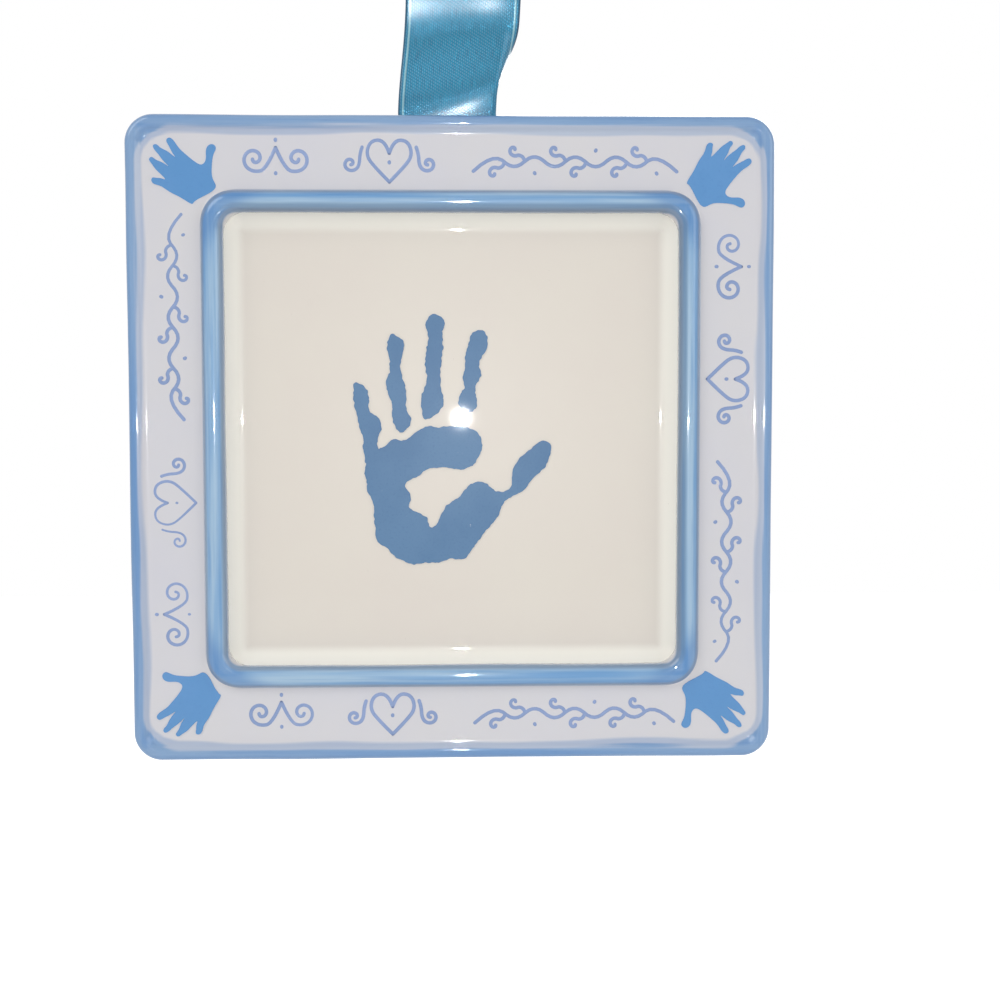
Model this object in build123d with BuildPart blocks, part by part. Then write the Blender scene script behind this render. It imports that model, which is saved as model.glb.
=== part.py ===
"""Ceramic handprint frame that hangs from a satin ribbon, as separate pieces, in millimetres.

+X is to the right, +Y points at the wall and +Z up. The origin is where the nail's axis meets the wall.
"""

from build123d import *
import math
import os

# Driving sizes of the frame
frame_side = 178.0
border_width = 20.5
border_height = 12.2
border_thickness = 6.0
corner_radius = 8.0
side_draft = 1.2
base_wall = 7.0

# Rounded lip along the outer edge, and the cove behind it
lip_radius = 2.3
lip_height = 13.6
cove_end = 6.2

# Raised bead round the window
bead_radius = 2.94
bead_height = 15.6
bead_corner_radius = 7.0
bead_foot_height = 10.7

# Pocket behind the bead, the groove round it and the button bosses
pocket_lap = 2.34
pocket_corner_radius = 3.0
pocket_wall = 4.5
pocket_wall_corner_radius = 6.0
pocket_wall_height = 1.7
groove_corner_radius = 13.0
boss_radius = 5.5
boss_spread = 35.0

# Glazed tile with its sloped margin
tile_clearance = 0.4
tile_seat_gap = 0.1
tile_corner_radius = 2.6
margin_width = 4.0
margin_depth = 1.6
margin_corner_radius = 1.2
tile_back = 5.4

# Felt sheet and board behind the tile
cushion_thickness = 1.5
board_thickness = 2.3
board_clearance = 0.8
board_corner_radius = 2.4

# Paint layers
print_height = 68.5
print_thickness = 0.25
print_shift_x = 0.2
print_shift_z = -0.6
motif_size = 18.0
motif_thickness = 0.2
motif_inset = 16.0
motif_thumb_inset = 15.0

# Turn buttons, screws and plugs
button_width = 8.0
button_length = 24.0
button_thickness = 0.8
button_play = 0.05
screw_radius = 1.25
screw_play = 0.05
screw_length = 6.0
screw_head_radius = 2.9
screw_head_thickness = 1.1
screw_head_edge = 0.5
screw_slot_width = 0.7
screw_slot_depth = 0.5
plug_radius = 2.5
plug_length = 6.0

# Felt pads that keep the glaze off the wall
pad_radius = 4.0
pad_thickness = 1.5
pad_inset = 7.8

# Ribbon and its two staples
hang_drop = 105.0
ribbon_width = 32.0
ribbon_thickness = 0.5
ribbon_gap = 0.3
ribbon_tail = 38.0
notch_play = 0.6
notch_depth = 2.8
fold_drop = 1.0
fold_play = 0.45
wave_start = 1.5
wave_length = 34.0
wave_height = 1.5
ribbon_lean = 2.9
ribbon_offset = 0.6
nail_loop_radius = 4.5
gathered_width = 18.0
staple_width = 10.0
staple_wire = 0.6
staple_leg = 3.6
staple_inset = 1.4
staple_drop = 10.0

# Shares that shape the ribbon: its pleat at the notch and where each change starts and ends on the way up
pleat_share = 0.9
pleat_end_share = 0.1
sway_share = 0.64
twist_shares = (0.38, 0.9)
gather_shares = (0.34, 0.78)
opening_shares = (0.45, 1.0)
station_shares = (
    0.0, 0.04, 0.08, 0.12, 0.16, 0.2, 0.24, 0.28, 0.32, 0.38,
    0.45, 0.52, 0.59, 0.66, 0.73, 0.8, 0.87, 0.94, 1.0,
)

# Outlines of the big print, clockwise, as shares of its height, from its centre
ring_finger_shares = (
    (-0.23, 0.43), (-0.2, 0.405), (-0.19, 0.375), (-0.2, 0.325), (-0.2, 0.265), (-0.185, 0.22),
    (-0.185, 0.17), (-0.185, 0.13), (-0.165, 0.065), (-0.205, 0.03), (-0.235, 0.07), (-0.245, 0.14),
    (-0.26, 0.2), (-0.26, 0.255), (-0.245, 0.3), (-0.26, 0.355), (-0.26, 0.4),
)
middle_finger_shares = (
    (-0.055, 0.505), (-0.025, 0.47), (-0.03, 0.435), (-0.035, 0.38), (-0.045, 0.31), (-0.045, 0.255),
    (-0.035, 0.18), (-0.035, 0.13), (-0.075, 0.1), (-0.105, 0.085), (-0.125, 0.135), (-0.12, 0.185),
    (-0.1, 0.245), (-0.105, 0.31), (-0.1, 0.38), (-0.095, 0.42), (-0.1, 0.47), (-0.085, 0.5),
)
index_finger_shares = (
    (0.11, 0.445), (0.14, 0.43), (0.15, 0.4), (0.12, 0.34), (0.115, 0.305), (0.12, 0.265), (0.1, 0.22),
    (0.105, 0.17), (0.105, 0.135), (0.065, 0.11), (0.03, 0.145), (0.035, 0.18), (0.055, 0.215),
    (0.045, 0.25), (0.055, 0.295), (0.06, 0.35), (0.075, 0.4),
)
little_finger_shares = (
    (-0.38, 0.235), (-0.345, 0.21), (-0.335, 0.155), (-0.335, 0.12), (-0.3, 0.09), (-0.29, 0.03),
    (-0.3, -0.025), (-0.29, -0.095), (-0.34, -0.105), (-0.355, -0.015), (-0.37, 0.05), (-0.39, 0.1),
    (-0.4, 0.155), (-0.4, 0.205),
)
thumb_shares = (
    (0.38, -0.005), (0.405, -0.03), (0.4, -0.08), (0.36, -0.135), (0.31, -0.185), (0.265, -0.225),
    (0.225, -0.25), (0.175, -0.29), (0.14, -0.255), (0.165, -0.21), (0.2, -0.21), (0.235, -0.195),
    (0.25, -0.145), (0.265, -0.09), (0.31, -0.045), (0.345, -0.015),
)
palm_shares = (
    (-0.36, 0.02), (-0.35, -0.065), (-0.35, -0.12), (-0.345, -0.2), (-0.325, -0.255), (-0.315, -0.355),
    (-0.3, -0.42), (-0.265, -0.445), (-0.235, -0.475), (-0.195, -0.5), (-0.085, -0.5), (0.0, -0.49),
    (0.06, -0.48), (0.095, -0.43), (0.14, -0.375), (0.18, -0.32), (0.2, -0.28), (0.2, -0.24),
    (0.155, -0.195), (0.11, -0.17), (0.065, -0.195), (0.045, -0.22), (0.005, -0.25), (-0.02, -0.265),
    (-0.045, -0.31), (-0.085, -0.355), (-0.1, -0.32), (-0.13, -0.295), (-0.17, -0.275), (-0.17, -0.23),
    (-0.19, -0.19), (-0.15, -0.155), (-0.095, -0.12), (-0.045, -0.11), (0.015, -0.12), (0.075, -0.11),
    (0.11, -0.07), (0.125, -0.015), (0.105, 0.035), (0.045, 0.055), (-0.045, 0.055), (-0.11, 0.05),
    (-0.16, 0.02), (-0.195, -0.005), (-0.24, 0.0), (-0.265, -0.02), (-0.3, -0.04), (-0.34, -0.015),
)

# Outline of the small corner hand, anticlockwise from its wrist, as shares of its size, fingers upwards
small_hand_shares = (
    (-0.26, -0.45), (-0.06, -0.49), (0.18, -0.5), (0.21, -0.42), (0.26, -0.34), (0.39, -0.22), (0.5, -0.15),
    (0.59, -0.1), (0.59, -0.05), (0.54, -0.01), (0.47, -0.02), (0.4, -0.08), (0.32, -0.14), (0.26, -0.14),
    (0.21, -0.04), (0.19, 0.14), (0.19, 0.31), (0.21, 0.44), (0.19, 0.49), (0.15, 0.5), (0.1, 0.41),
    (0.06, 0.28), (0.05, 0.23), (0.03, 0.35), (-0.01, 0.5), (-0.02, 0.56), (-0.06, 0.58), (-0.09, 0.54),
    (-0.1, 0.45), (-0.12, 0.29), (-0.12, 0.2), (-0.15, 0.31), (-0.19, 0.42), (-0.21, 0.48), (-0.25, 0.48),
    (-0.27, 0.43), (-0.29, 0.32), (-0.29, 0.19), (-0.3, 0.1), (-0.33, 0.15), (-0.38, 0.21), (-0.42, 0.25),
    (-0.45, 0.24), (-0.47, 0.2), (-0.43, 0.1), (-0.39, -0.06), (-0.34, -0.22), (-0.31, -0.34),
)

# Sizes worked out from the ones above
half_side = frame_side / 2
bead_half = half_side - border_width - bead_radius
window_half = bead_half - bead_radius
bead_centre_height = bead_height - bead_radius
pocket_half = window_half + pocket_lap
pocket_wall_half = pocket_half + pocket_wall
groove_half = half_side - base_wall
border_back = border_height - border_thickness
tile_half = pocket_half - tile_clearance
tile_top = bead_foot_height - tile_seat_gap
field_height = tile_top - margin_depth
field_half = window_half - margin_width
board_front = tile_back - cushion_thickness
board_back = board_front - board_thickness
board_half = pocket_half - board_clearance
button_seat = board_back - button_play
button_back = button_seat - button_thickness
plate_hole_radius = pocket_corner_radius + bead_half - pocket_half
boss_reach = pocket_wall_half + boss_radius - pocket_wall / 2
frame_centre_z = -hang_drop - half_side
fold_height = board_back - ribbon_thickness - ribbon_gap / 2
fold_y = -(pad_thickness + fold_height)
fold_z = -hang_drop - fold_drop
notched_width = ribbon_width * pleat_share
staple_reach = notched_width / 2 - staple_inset - staple_width / 2

# Plane of the frame's back, seen from the front: its offsets run from the wall side towards the front
back_plane = Plane(origin=(0, -pad_thickness, frame_centre_z), x_dir=(1, 0, 0), z_dir=(0, -1, 0))
corners = {"upper_left": (-1, 1), "upper_right": (1, 1), "lower_right": (1, -1), "lower_left": (-1, -1)}


def level(height):
    """Plane parallel to the frame's back, height in front of it."""
    return back_plane.offset(height)


def side_plane():
    """Plane square to the right side at its middle: x runs inwards from the outer edge and y to the front."""
    return Plane(origin=back_plane.from_local_coords((half_side, 0, 0)), x_dir=(-1, 0, 0), z_dir=(0, 0, 1))


def square_path(half, radius):
    """Closed wire round the frame's centre, half wide each way, that starts at the middle of the right side."""
    with BuildLine(back_plane) as path:
        FilletPolyline((half, 0), (half, half), (-half, half), (-half, 0), radius=radius)
        FilletPolyline((-half, 0), (-half, -half), (half, -half), (half, 0), radius=radius)
    return path.wires()[0]


def square_ring(outer, outer_radius, inner, inner_radius):
    """Rounded square with a rounded square hole, on the sketch in hand."""
    RectangleRounded(2 * outer, 2 * outer, outer_radius)
    RectangleRounded(2 * inner, 2 * inner, inner_radius, mode=Mode.SUBTRACT)


def ease(share):
    """Smooth step from 0 to 1."""
    held = min(max(share, 0), 1)
    return held * held * (3 - 2 * held)


def ease_between(share, ends):
    """Smooth step from 0 at the first of two shares to 1 at the second."""
    return ease((share - ends[0]) / (ends[1] - ends[0]))


def finish(builder, name):
    """Labels the finished piece and writes its STEP file."""
    builder.part.label = name
    export_step(builder.part, f"parts/{name}.step")


os.makedirs("parts", exist_ok=True)

# Ceramic surround: outer wall with lip and cove, border plate, bead, pocket wall and bosses
with BuildPart() as frame_surround:
    with BuildSketch(side_plane()):
        with BuildLine():
            wall_side = Line((side_draft, 0), (0, lip_height - lip_radius))
            lip = RadiusArc(wall_side @ 1, (lip_radius, lip_height), lip_radius)
            middle = ((lip_radius + cove_end) / 2, (lip_height + border_height) / 2)
            crest = TangentArc(lip @ 1, middle, tangent=(1, 0))
            cove = TangentArc((cove_end, border_height), middle, tangent=(-1, 0))
            Polyline(cove @ 0, (base_wall, border_height), (base_wall, 0), wall_side @ 0)
        make_face()
    sweep(path=square_path(half_side, corner_radius))
    with BuildSketch(level(border_back)):
        square_ring(half_side - cove_end / 2, corner_radius, bead_half, plate_hole_radius)
    extrude(amount=border_thickness)
    with BuildSketch(level(0)):
        square_ring(half_side - base_wall / 2, corner_radius - base_wall / 2, groove_half, groove_corner_radius)
    extrude(amount=border_back)
    with BuildSketch(level(pocket_wall_height)):
        square_ring(pocket_wall_half, pocket_wall_corner_radius, pocket_half, pocket_corner_radius)
    extrude(amount=border_height - pocket_wall_height)
    with BuildSketch(Plane(origin=side_plane().from_local_coords((half_side - bead_half, 0, 0)),
                           x_dir=(-1, 0, 0), z_dir=(0, 0, 1))):
        with Locations((0, bead_centre_height)):
            Circle(bead_radius)
        with Locations((0, (bead_foot_height + bead_centre_height) / 2)):
            Rectangle(2 * bead_radius, bead_centre_height - bead_foot_height)
        with Locations((0, bead_foot_height)):
            Rectangle(2 * bead_radius, 2 * bead_radius, align=(Align.CENTER, Align.MAX), mode=Mode.SUBTRACT)
    sweep(path=square_path(bead_half, bead_corner_radius))
    with BuildSketch(level(button_seat)):
        with GridLocations(2 * boss_reach, 2 * boss_spread, 2, 2):
            Circle(boss_radius)
    extrude(amount=border_back - button_seat)
    with BuildSketch(level(button_seat)):
        with GridLocations(2 * boss_reach, 2 * boss_spread, 2, 2):
            Circle(plug_radius)
    extrude(amount=plug_length, mode=Mode.SUBTRACT)
    with BuildSketch(level(0)):
        with Locations((ribbon_offset, half_side)):
            Rectangle(notched_width + 2 * notch_play, 2 * base_wall)
    extrude(amount=notch_depth, mode=Mode.SUBTRACT)
finish(frame_surround, "frame_surround")

# Glazed tile, with a shallow field inside its sloped margin
with BuildPart() as print_tile:
    with BuildSketch(level(tile_back)):
        RectangleRounded(2 * tile_half, 2 * tile_half, tile_corner_radius)
    extrude(amount=tile_top - tile_back)
    with BuildSketch(level(field_height)):
        RectangleRounded(2 * field_half, 2 * field_half, margin_corner_radius)
    with BuildSketch(level(tile_top)):
        RectangleRounded(2 * window_half, 2 * window_half, bead_corner_radius - bead_radius)
    loft(mode=Mode.SUBTRACT)
finish(print_tile, "print_tile")


def outline(shares, size):
    """Face inside a smooth closed line through points given as shares of a size."""
    with BuildSketch() as shape:
        with BuildLine():
            Spline(*[Vector(*point) * size for point in shares], periodic=True)
        make_face()
    return shape.sketch


# Big handprint, a layer of paint on the tile: the palm, whose little finger and thumb join it, and three fingers
with BuildSketch() as hand_shape:
    for shares in (
        palm_shares, little_finger_shares, thumb_shares, ring_finger_shares, middle_finger_shares, index_finger_shares
    ):
        add(outline(shares, print_height))

with BuildPart() as handprint:
    with BuildSketch(level(field_height)):
        with Locations((print_shift_x, print_shift_z)):
            add(hand_shape.sketch)
    extrude(amount=print_thickness)
finish(handprint, "handprint")

# Small hands, the thumb's side of each nearer to the edge
for place, (side_x, side_z) in corners.items():
    inset_x, inset_z = (motif_inset, motif_thumb_inset) if side_x != side_z else (motif_thumb_inset, motif_inset)
    middle = (side_x * (half_side - inset_x), side_z * (half_side - inset_z), 0)
    turn = math.degrees(math.atan2(side_z, side_x)) - 90
    with BuildPart() as corner_hand:
        with BuildSketch(level(border_height)):
            with Locations(Location(middle, (0, 0, turn))):
                add(outline(small_hand_shares, motif_size))
        extrude(amount=motif_thickness)
    finish(corner_hand, f"corner_hand_{place}")

# Felt sheet that presses the tile against the bead
with BuildPart() as tile_cushion:
    with BuildSketch(level(board_front)):
        RectangleRounded(2 * board_half, 2 * board_half, board_corner_radius)
    extrude(amount=cushion_thickness)
finish(tile_cushion, "tile_cushion")


# Middles of the two staples and slots for their legs, on the frame's back
staple_middles = [(ribbon_offset + side * staple_reach, pocket_half - staple_drop) for side in (-1, 1)]
with BuildSketch() as staple_legs:
    with Locations(*staple_middles):
        with GridLocations(staple_width - staple_wire, 0, 2, 1):
            Rectangle(staple_wire, staple_wire)

rear_tail_back = board_back - 2 * ribbon_thickness - ribbon_gap
leg_end = rear_tail_back + staple_leg

# Board that closes the pocket
with BuildPart() as backing_board:
    with BuildSketch(level(board_back)):
        RectangleRounded(2 * board_half, 2 * board_half, board_corner_radius)
    extrude(amount=board_thickness)
    with BuildSketch(level(board_back)):
        add(staple_legs.sketch)
    extrude(amount=leg_end - board_back, mode=Mode.SUBTRACT)
finish(backing_board, "backing_board")

# Two ribbon ends, laid one on the other over the board
for name, tail_back in (
    ("ribbon_tail_front", board_back - ribbon_thickness),
    ("ribbon_tail_rear", rear_tail_back),
):
    tail_top = fold_z - fold_play - frame_centre_z
    with BuildPart() as ribbon_end:
        with BuildSketch(level(tail_back)):
            with Locations((ribbon_offset, tail_top)):
                Rectangle(notched_width, ribbon_tail, align=(Align.CENTER, Align.MAX))
        extrude(amount=ribbon_thickness)
        with BuildSketch(level(tail_back)):
            add(staple_legs.sketch)
        extrude(amount=ribbon_thickness, mode=Mode.SUBTRACT)
    finish(ribbon_end, name)

# Staples through both ends
with BuildPart() as ribbon_staples:
    with BuildSketch(level(rear_tail_back - staple_wire)):
        with Locations(*staple_middles):
            Rectangle(staple_width, staple_wire)
    extrude(amount=staple_wire)
    with BuildSketch(level(rear_tail_back)):
        add(staple_legs.sketch)
    extrude(amount=staple_leg)
finish(ribbon_staples, "ribbon_staples")

# Plastic plugs in the bosses
with BuildPart() as screw_plugs:
    with BuildSketch(level(button_seat)):
        with GridLocations(2 * boss_reach, 2 * boss_spread, 2, 2):
            Circle(plug_radius)
            Circle(screw_radius, mode=Mode.SUBTRACT)
    extrude(amount=plug_length)
finish(screw_plugs, "screw_plugs")

# Slotted pan head screws that the buttons turn on
with BuildPart() as button_screws:
    with BuildSketch(level(button_back - button_play - screw_head_thickness)):
        with GridLocations(2 * boss_reach, 2 * boss_spread, 2, 2):
            Circle(screw_head_radius)
    extrude(amount=screw_head_thickness)
    fillet(button_screws.edges().group_by(Axis.Y)[-1], screw_head_edge)
    with BuildSketch(level(button_back - button_play)):
        with GridLocations(2 * boss_reach, 2 * boss_spread, 2, 2):
            Circle(screw_radius)
    extrude(amount=screw_length)
    with BuildSketch(level(button_back - button_play - screw_head_thickness)):
        with GridLocations(2 * boss_reach, 2 * boss_spread, 2, 2):
            Rectangle(screw_slot_width, 2 * screw_head_radius, rotation=45)
    extrude(amount=screw_slot_depth, mode=Mode.SUBTRACT)
finish(button_screws, "button_screws")

for place, (side_x, side_z) in corners.items():
    # Turn button, locked with its long arm over the board
    pivot = (side_x * boss_reach, side_z * boss_spread)
    with BuildPart() as turn_button:
        with BuildSketch(level(button_back)):
            with Locations((pivot[0] - side_x * (button_length - button_width) / 2, pivot[1])):
                SlotOverall(button_length, button_width)
            with Locations(pivot):
                Circle(screw_radius + screw_play, mode=Mode.SUBTRACT)
        extrude(amount=button_thickness)
    finish(turn_button, f"turn_button_{place}")

    # Felt pad on the corner of the foot ring
    with BuildPart() as wall_pad:
        with BuildSketch(level(-pad_thickness)):
            with Locations((side_x * (half_side - pad_inset), side_z * (half_side - pad_inset))):
                Circle(pad_radius)
        extrude(amount=pad_thickness)
    finish(wall_pad, f"wall_pad_{place}")


def ribbon_section(share, side):
    """Plane and width of one ribbon strand: share runs from the fold at the frame to the nail."""
    rise = fold_play + share * (-fold_z - fold_play)
    waved = math.tau * max(rise - wave_start, 0) / wave_length
    wave = wave_height * math.sin(waved) * (1 - ease_between(share, twist_shares))
    sway = ribbon_offset + ribbon_lean * math.sin(math.pi * min(share / sway_share, 1))
    sway = sway * (1 - ease_between(share, twist_shares))
    turn = math.pi / 2 * ease_between(share, twist_shares)
    opening = ribbon_gap / 2 + (nail_loop_radius - ribbon_gap / 2) * ease_between(share, opening_shares)
    pleat = pleat_share + (1 - pleat_share) * ease(share / pleat_end_share)
    width = ribbon_width * pleat + (gathered_width - ribbon_width) * ease_between(share, gather_shares)
    out = side * (opening + ribbon_thickness / 2)
    middle_y = fold_y - wave - width / 2 * math.sin(turn)
    origin = (sway + out * math.sin(turn), middle_y + out * math.cos(turn), fold_z + rise)
    return Plane(origin=origin, x_dir=(math.cos(turn), -math.sin(turn), 0), z_dir=(0, 0, 1)), width


# Hanging loop: two strands that rise together, turn a quarter and open round the nail
with BuildPart() as ribbon_loop:
    for side in (-1, 1):
        for share in station_shares:
            plane, width = ribbon_section(share, side)
            with BuildSketch(plane):
                Rectangle(width, ribbon_thickness)
        loft()
    with BuildSketch(Plane.XZ.offset(-fold_y)):
        Circle(nail_loop_radius + ribbon_thickness)
        Circle(nail_loop_radius, mode=Mode.SUBTRACT)
        with Locations((0, 0)):
            Rectangle(
                4 * nail_loop_radius, 4 * nail_loop_radius, align=(Align.CENTER, Align.MAX), mode=Mode.SUBTRACT
            )
    extrude(amount=gathered_width)
finish(ribbon_loop, "ribbon_loop")

for built in (frame_surround, print_tile, handprint, ribbon_loop):
    box = built.part.bounding_box()
    print(f"{built.part.label}: {len(built.part.solids())} solid, {built.part.volume:.0f} mm3, "
          f"{box.size.X:.1f} x {box.size.Y:.1f} x {box.size.Z:.1f} mm")
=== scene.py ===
"""Looks of a glazed handprint plaque that hangs from a satin ribbon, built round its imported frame.

Lengths are in metres in the frame's own space: +X to the right, +Y towards the wall, +Z up and the nail at
the origin. Flat pieces are drawn face up round the plaque's middle and then hung in place by Plaque.placing.
"""

import logging
from collections.abc import Callable, Sequence
from dataclasses import dataclass, field
from enum import Enum
from functools import partial, reduce
from math import cos, pi, radians, sin, tau

import bmesh
import bpy
from mathutils import Matrix, Vector, noise


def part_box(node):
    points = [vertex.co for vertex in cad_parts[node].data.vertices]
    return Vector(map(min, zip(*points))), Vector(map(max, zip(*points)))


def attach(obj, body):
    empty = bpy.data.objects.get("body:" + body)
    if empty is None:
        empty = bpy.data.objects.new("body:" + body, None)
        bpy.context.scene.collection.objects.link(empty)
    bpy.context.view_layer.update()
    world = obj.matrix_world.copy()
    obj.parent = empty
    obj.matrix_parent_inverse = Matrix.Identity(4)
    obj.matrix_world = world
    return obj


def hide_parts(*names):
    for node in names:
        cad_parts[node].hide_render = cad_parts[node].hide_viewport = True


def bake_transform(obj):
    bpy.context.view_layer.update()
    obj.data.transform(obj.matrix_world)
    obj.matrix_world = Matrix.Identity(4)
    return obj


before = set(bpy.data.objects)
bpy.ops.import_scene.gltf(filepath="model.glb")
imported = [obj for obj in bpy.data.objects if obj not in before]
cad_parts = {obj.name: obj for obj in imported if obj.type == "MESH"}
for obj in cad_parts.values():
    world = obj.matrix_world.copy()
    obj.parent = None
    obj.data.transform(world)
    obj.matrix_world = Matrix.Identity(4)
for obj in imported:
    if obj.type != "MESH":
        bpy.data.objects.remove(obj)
log = logging.getLogger("plaque")

MM = 0.001
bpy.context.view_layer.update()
SEAM_MERGE = 0.001 * MM
COPY_MERGE = 0.002 * MM
FLAT_WITHIN = 0.8
ROUNDED_FROM = 35.0
SHARP_FROM = 40.0

Colour = tuple[float, float, float, float]
WHITE: Colour = (1.0, 1.0, 1.0, 1.0)


def screen(red: int, green: int, blue: int) -> Colour:
    """Linear colour of an 8-bit screen colour.

    Args:
        red, green, blue: The screen's values, from 0 to 255.

    Returns:
        The colour as Blender's sockets hold it.
    """
    linear = []
    for value in (red, green, blue):
        share = value / 255
        linear.append(share / 12.92 if share <= 0.04045 else ((share + 0.055) / 1.055) ** 2.4)
    return (*linear, 1.0)


def ease(share: float) -> float:
    """Smooth step from 0 to 1."""
    held = min(max(share, 0.0), 1.0)
    return held * held * (3 - 2 * held)


def ease_between(share: float, ends: tuple[float, float]) -> float:
    """Smooth step from 0 at the first end to 1 at the second."""
    return ease((share - ends[0]) / (ends[1] - ends[0]))


class Body(Enum):
    """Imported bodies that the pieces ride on."""

    HANGER = "hanger"
    PLAQUE = "plaque"


class Slot(Enum):
    """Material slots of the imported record."""

    BORDER = "border_glaze"
    TILE = "tile_glaze"
    PRINT = "print_paint"
    MOTIF = "motif_enamel"
    RIBBON = "ribbon_satin"
    FELT = "felt"
    BOARD = "hardboard"
    BUTTON = "button_brass"
    SCREW = "screw_steel"
    PLUG = "plug_plastic"
    STAPLE = "staple_wire"


class Cut(Enum):
    """What a tool's body does to a piece."""

    ADD = "UNION"
    REMOVE = "DIFFERENCE"


class Corner(Enum):
    """The plaque's corners, with the signs of x and z there."""

    UPPER_LEFT = (-1, 1)
    UPPER_RIGHT = (1, 1)
    LOWER_RIGHT = (1, -1)
    LOWER_LEFT = (-1, -1)

    @property
    def word(self) -> str:
        """The corner's name as the nodes spell it."""
        return self.name.lower()


# ---- shader graphs -------------------------------------------------------------------------------


@dataclass(frozen=True)
class Signal:
    """A socket's value in a graph, to reckon with like a number."""

    graph: "Graph"
    socket: bpy.types.NodeSocket

    def __add__(self, other: "Value") -> "Signal":
        """Sum of the two."""
        return self.graph.math("ADD", self, other)

    def __sub__(self, other: "Value") -> "Signal":
        """What is left after taking the other away."""
        return self.graph.math("SUBTRACT", self, other)

    def __mul__(self, other: "Value") -> "Signal":
        """Product of the two."""
        return self.graph.math("MULTIPLY", self, other)

    def __truediv__(self, other: "Value") -> "Signal":
        """How many times the other goes into this."""
        return self.graph.math("DIVIDE", self, other)

    def __pow__(self, other: "Value") -> "Signal":
        """This to the power of the other."""
        return self.graph.math("POWER", self, other)

    def __abs__(self) -> "Signal":
        """Size without the sign."""
        return self.graph.math("ABSOLUTE", self)

    def __rsub__(self, whole: float) -> "Signal":
        """What the signal leaves of a number."""
        return self.graph.math("SUBTRACT", whole, self)

    def step(self, low: float, high: float) -> "Signal":
        """Smooth step of the signal, from 0 to 1.

        Args:
            low: Where the step is still 0.
            high: Where it has reached 1, which may be below low.

        Returns:
            The step.
        """
        made = self.graph.node("MapRange", interpolation_type="SMOOTHSTEP")
        for name, given in (("Value", self), ("From Min", low), ("From Max", high)):
            self.graph.feed(made.inputs[name], given)
        return self.graph.out(made)

    def near(self, centre: float, far: float, close: float) -> "Signal":
        """1 where the signal is closer to the centre than close, falling to 0 at far."""
        return abs(self - centre).step(far, close)


Value = Signal | float | tuple[float, ...]


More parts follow.
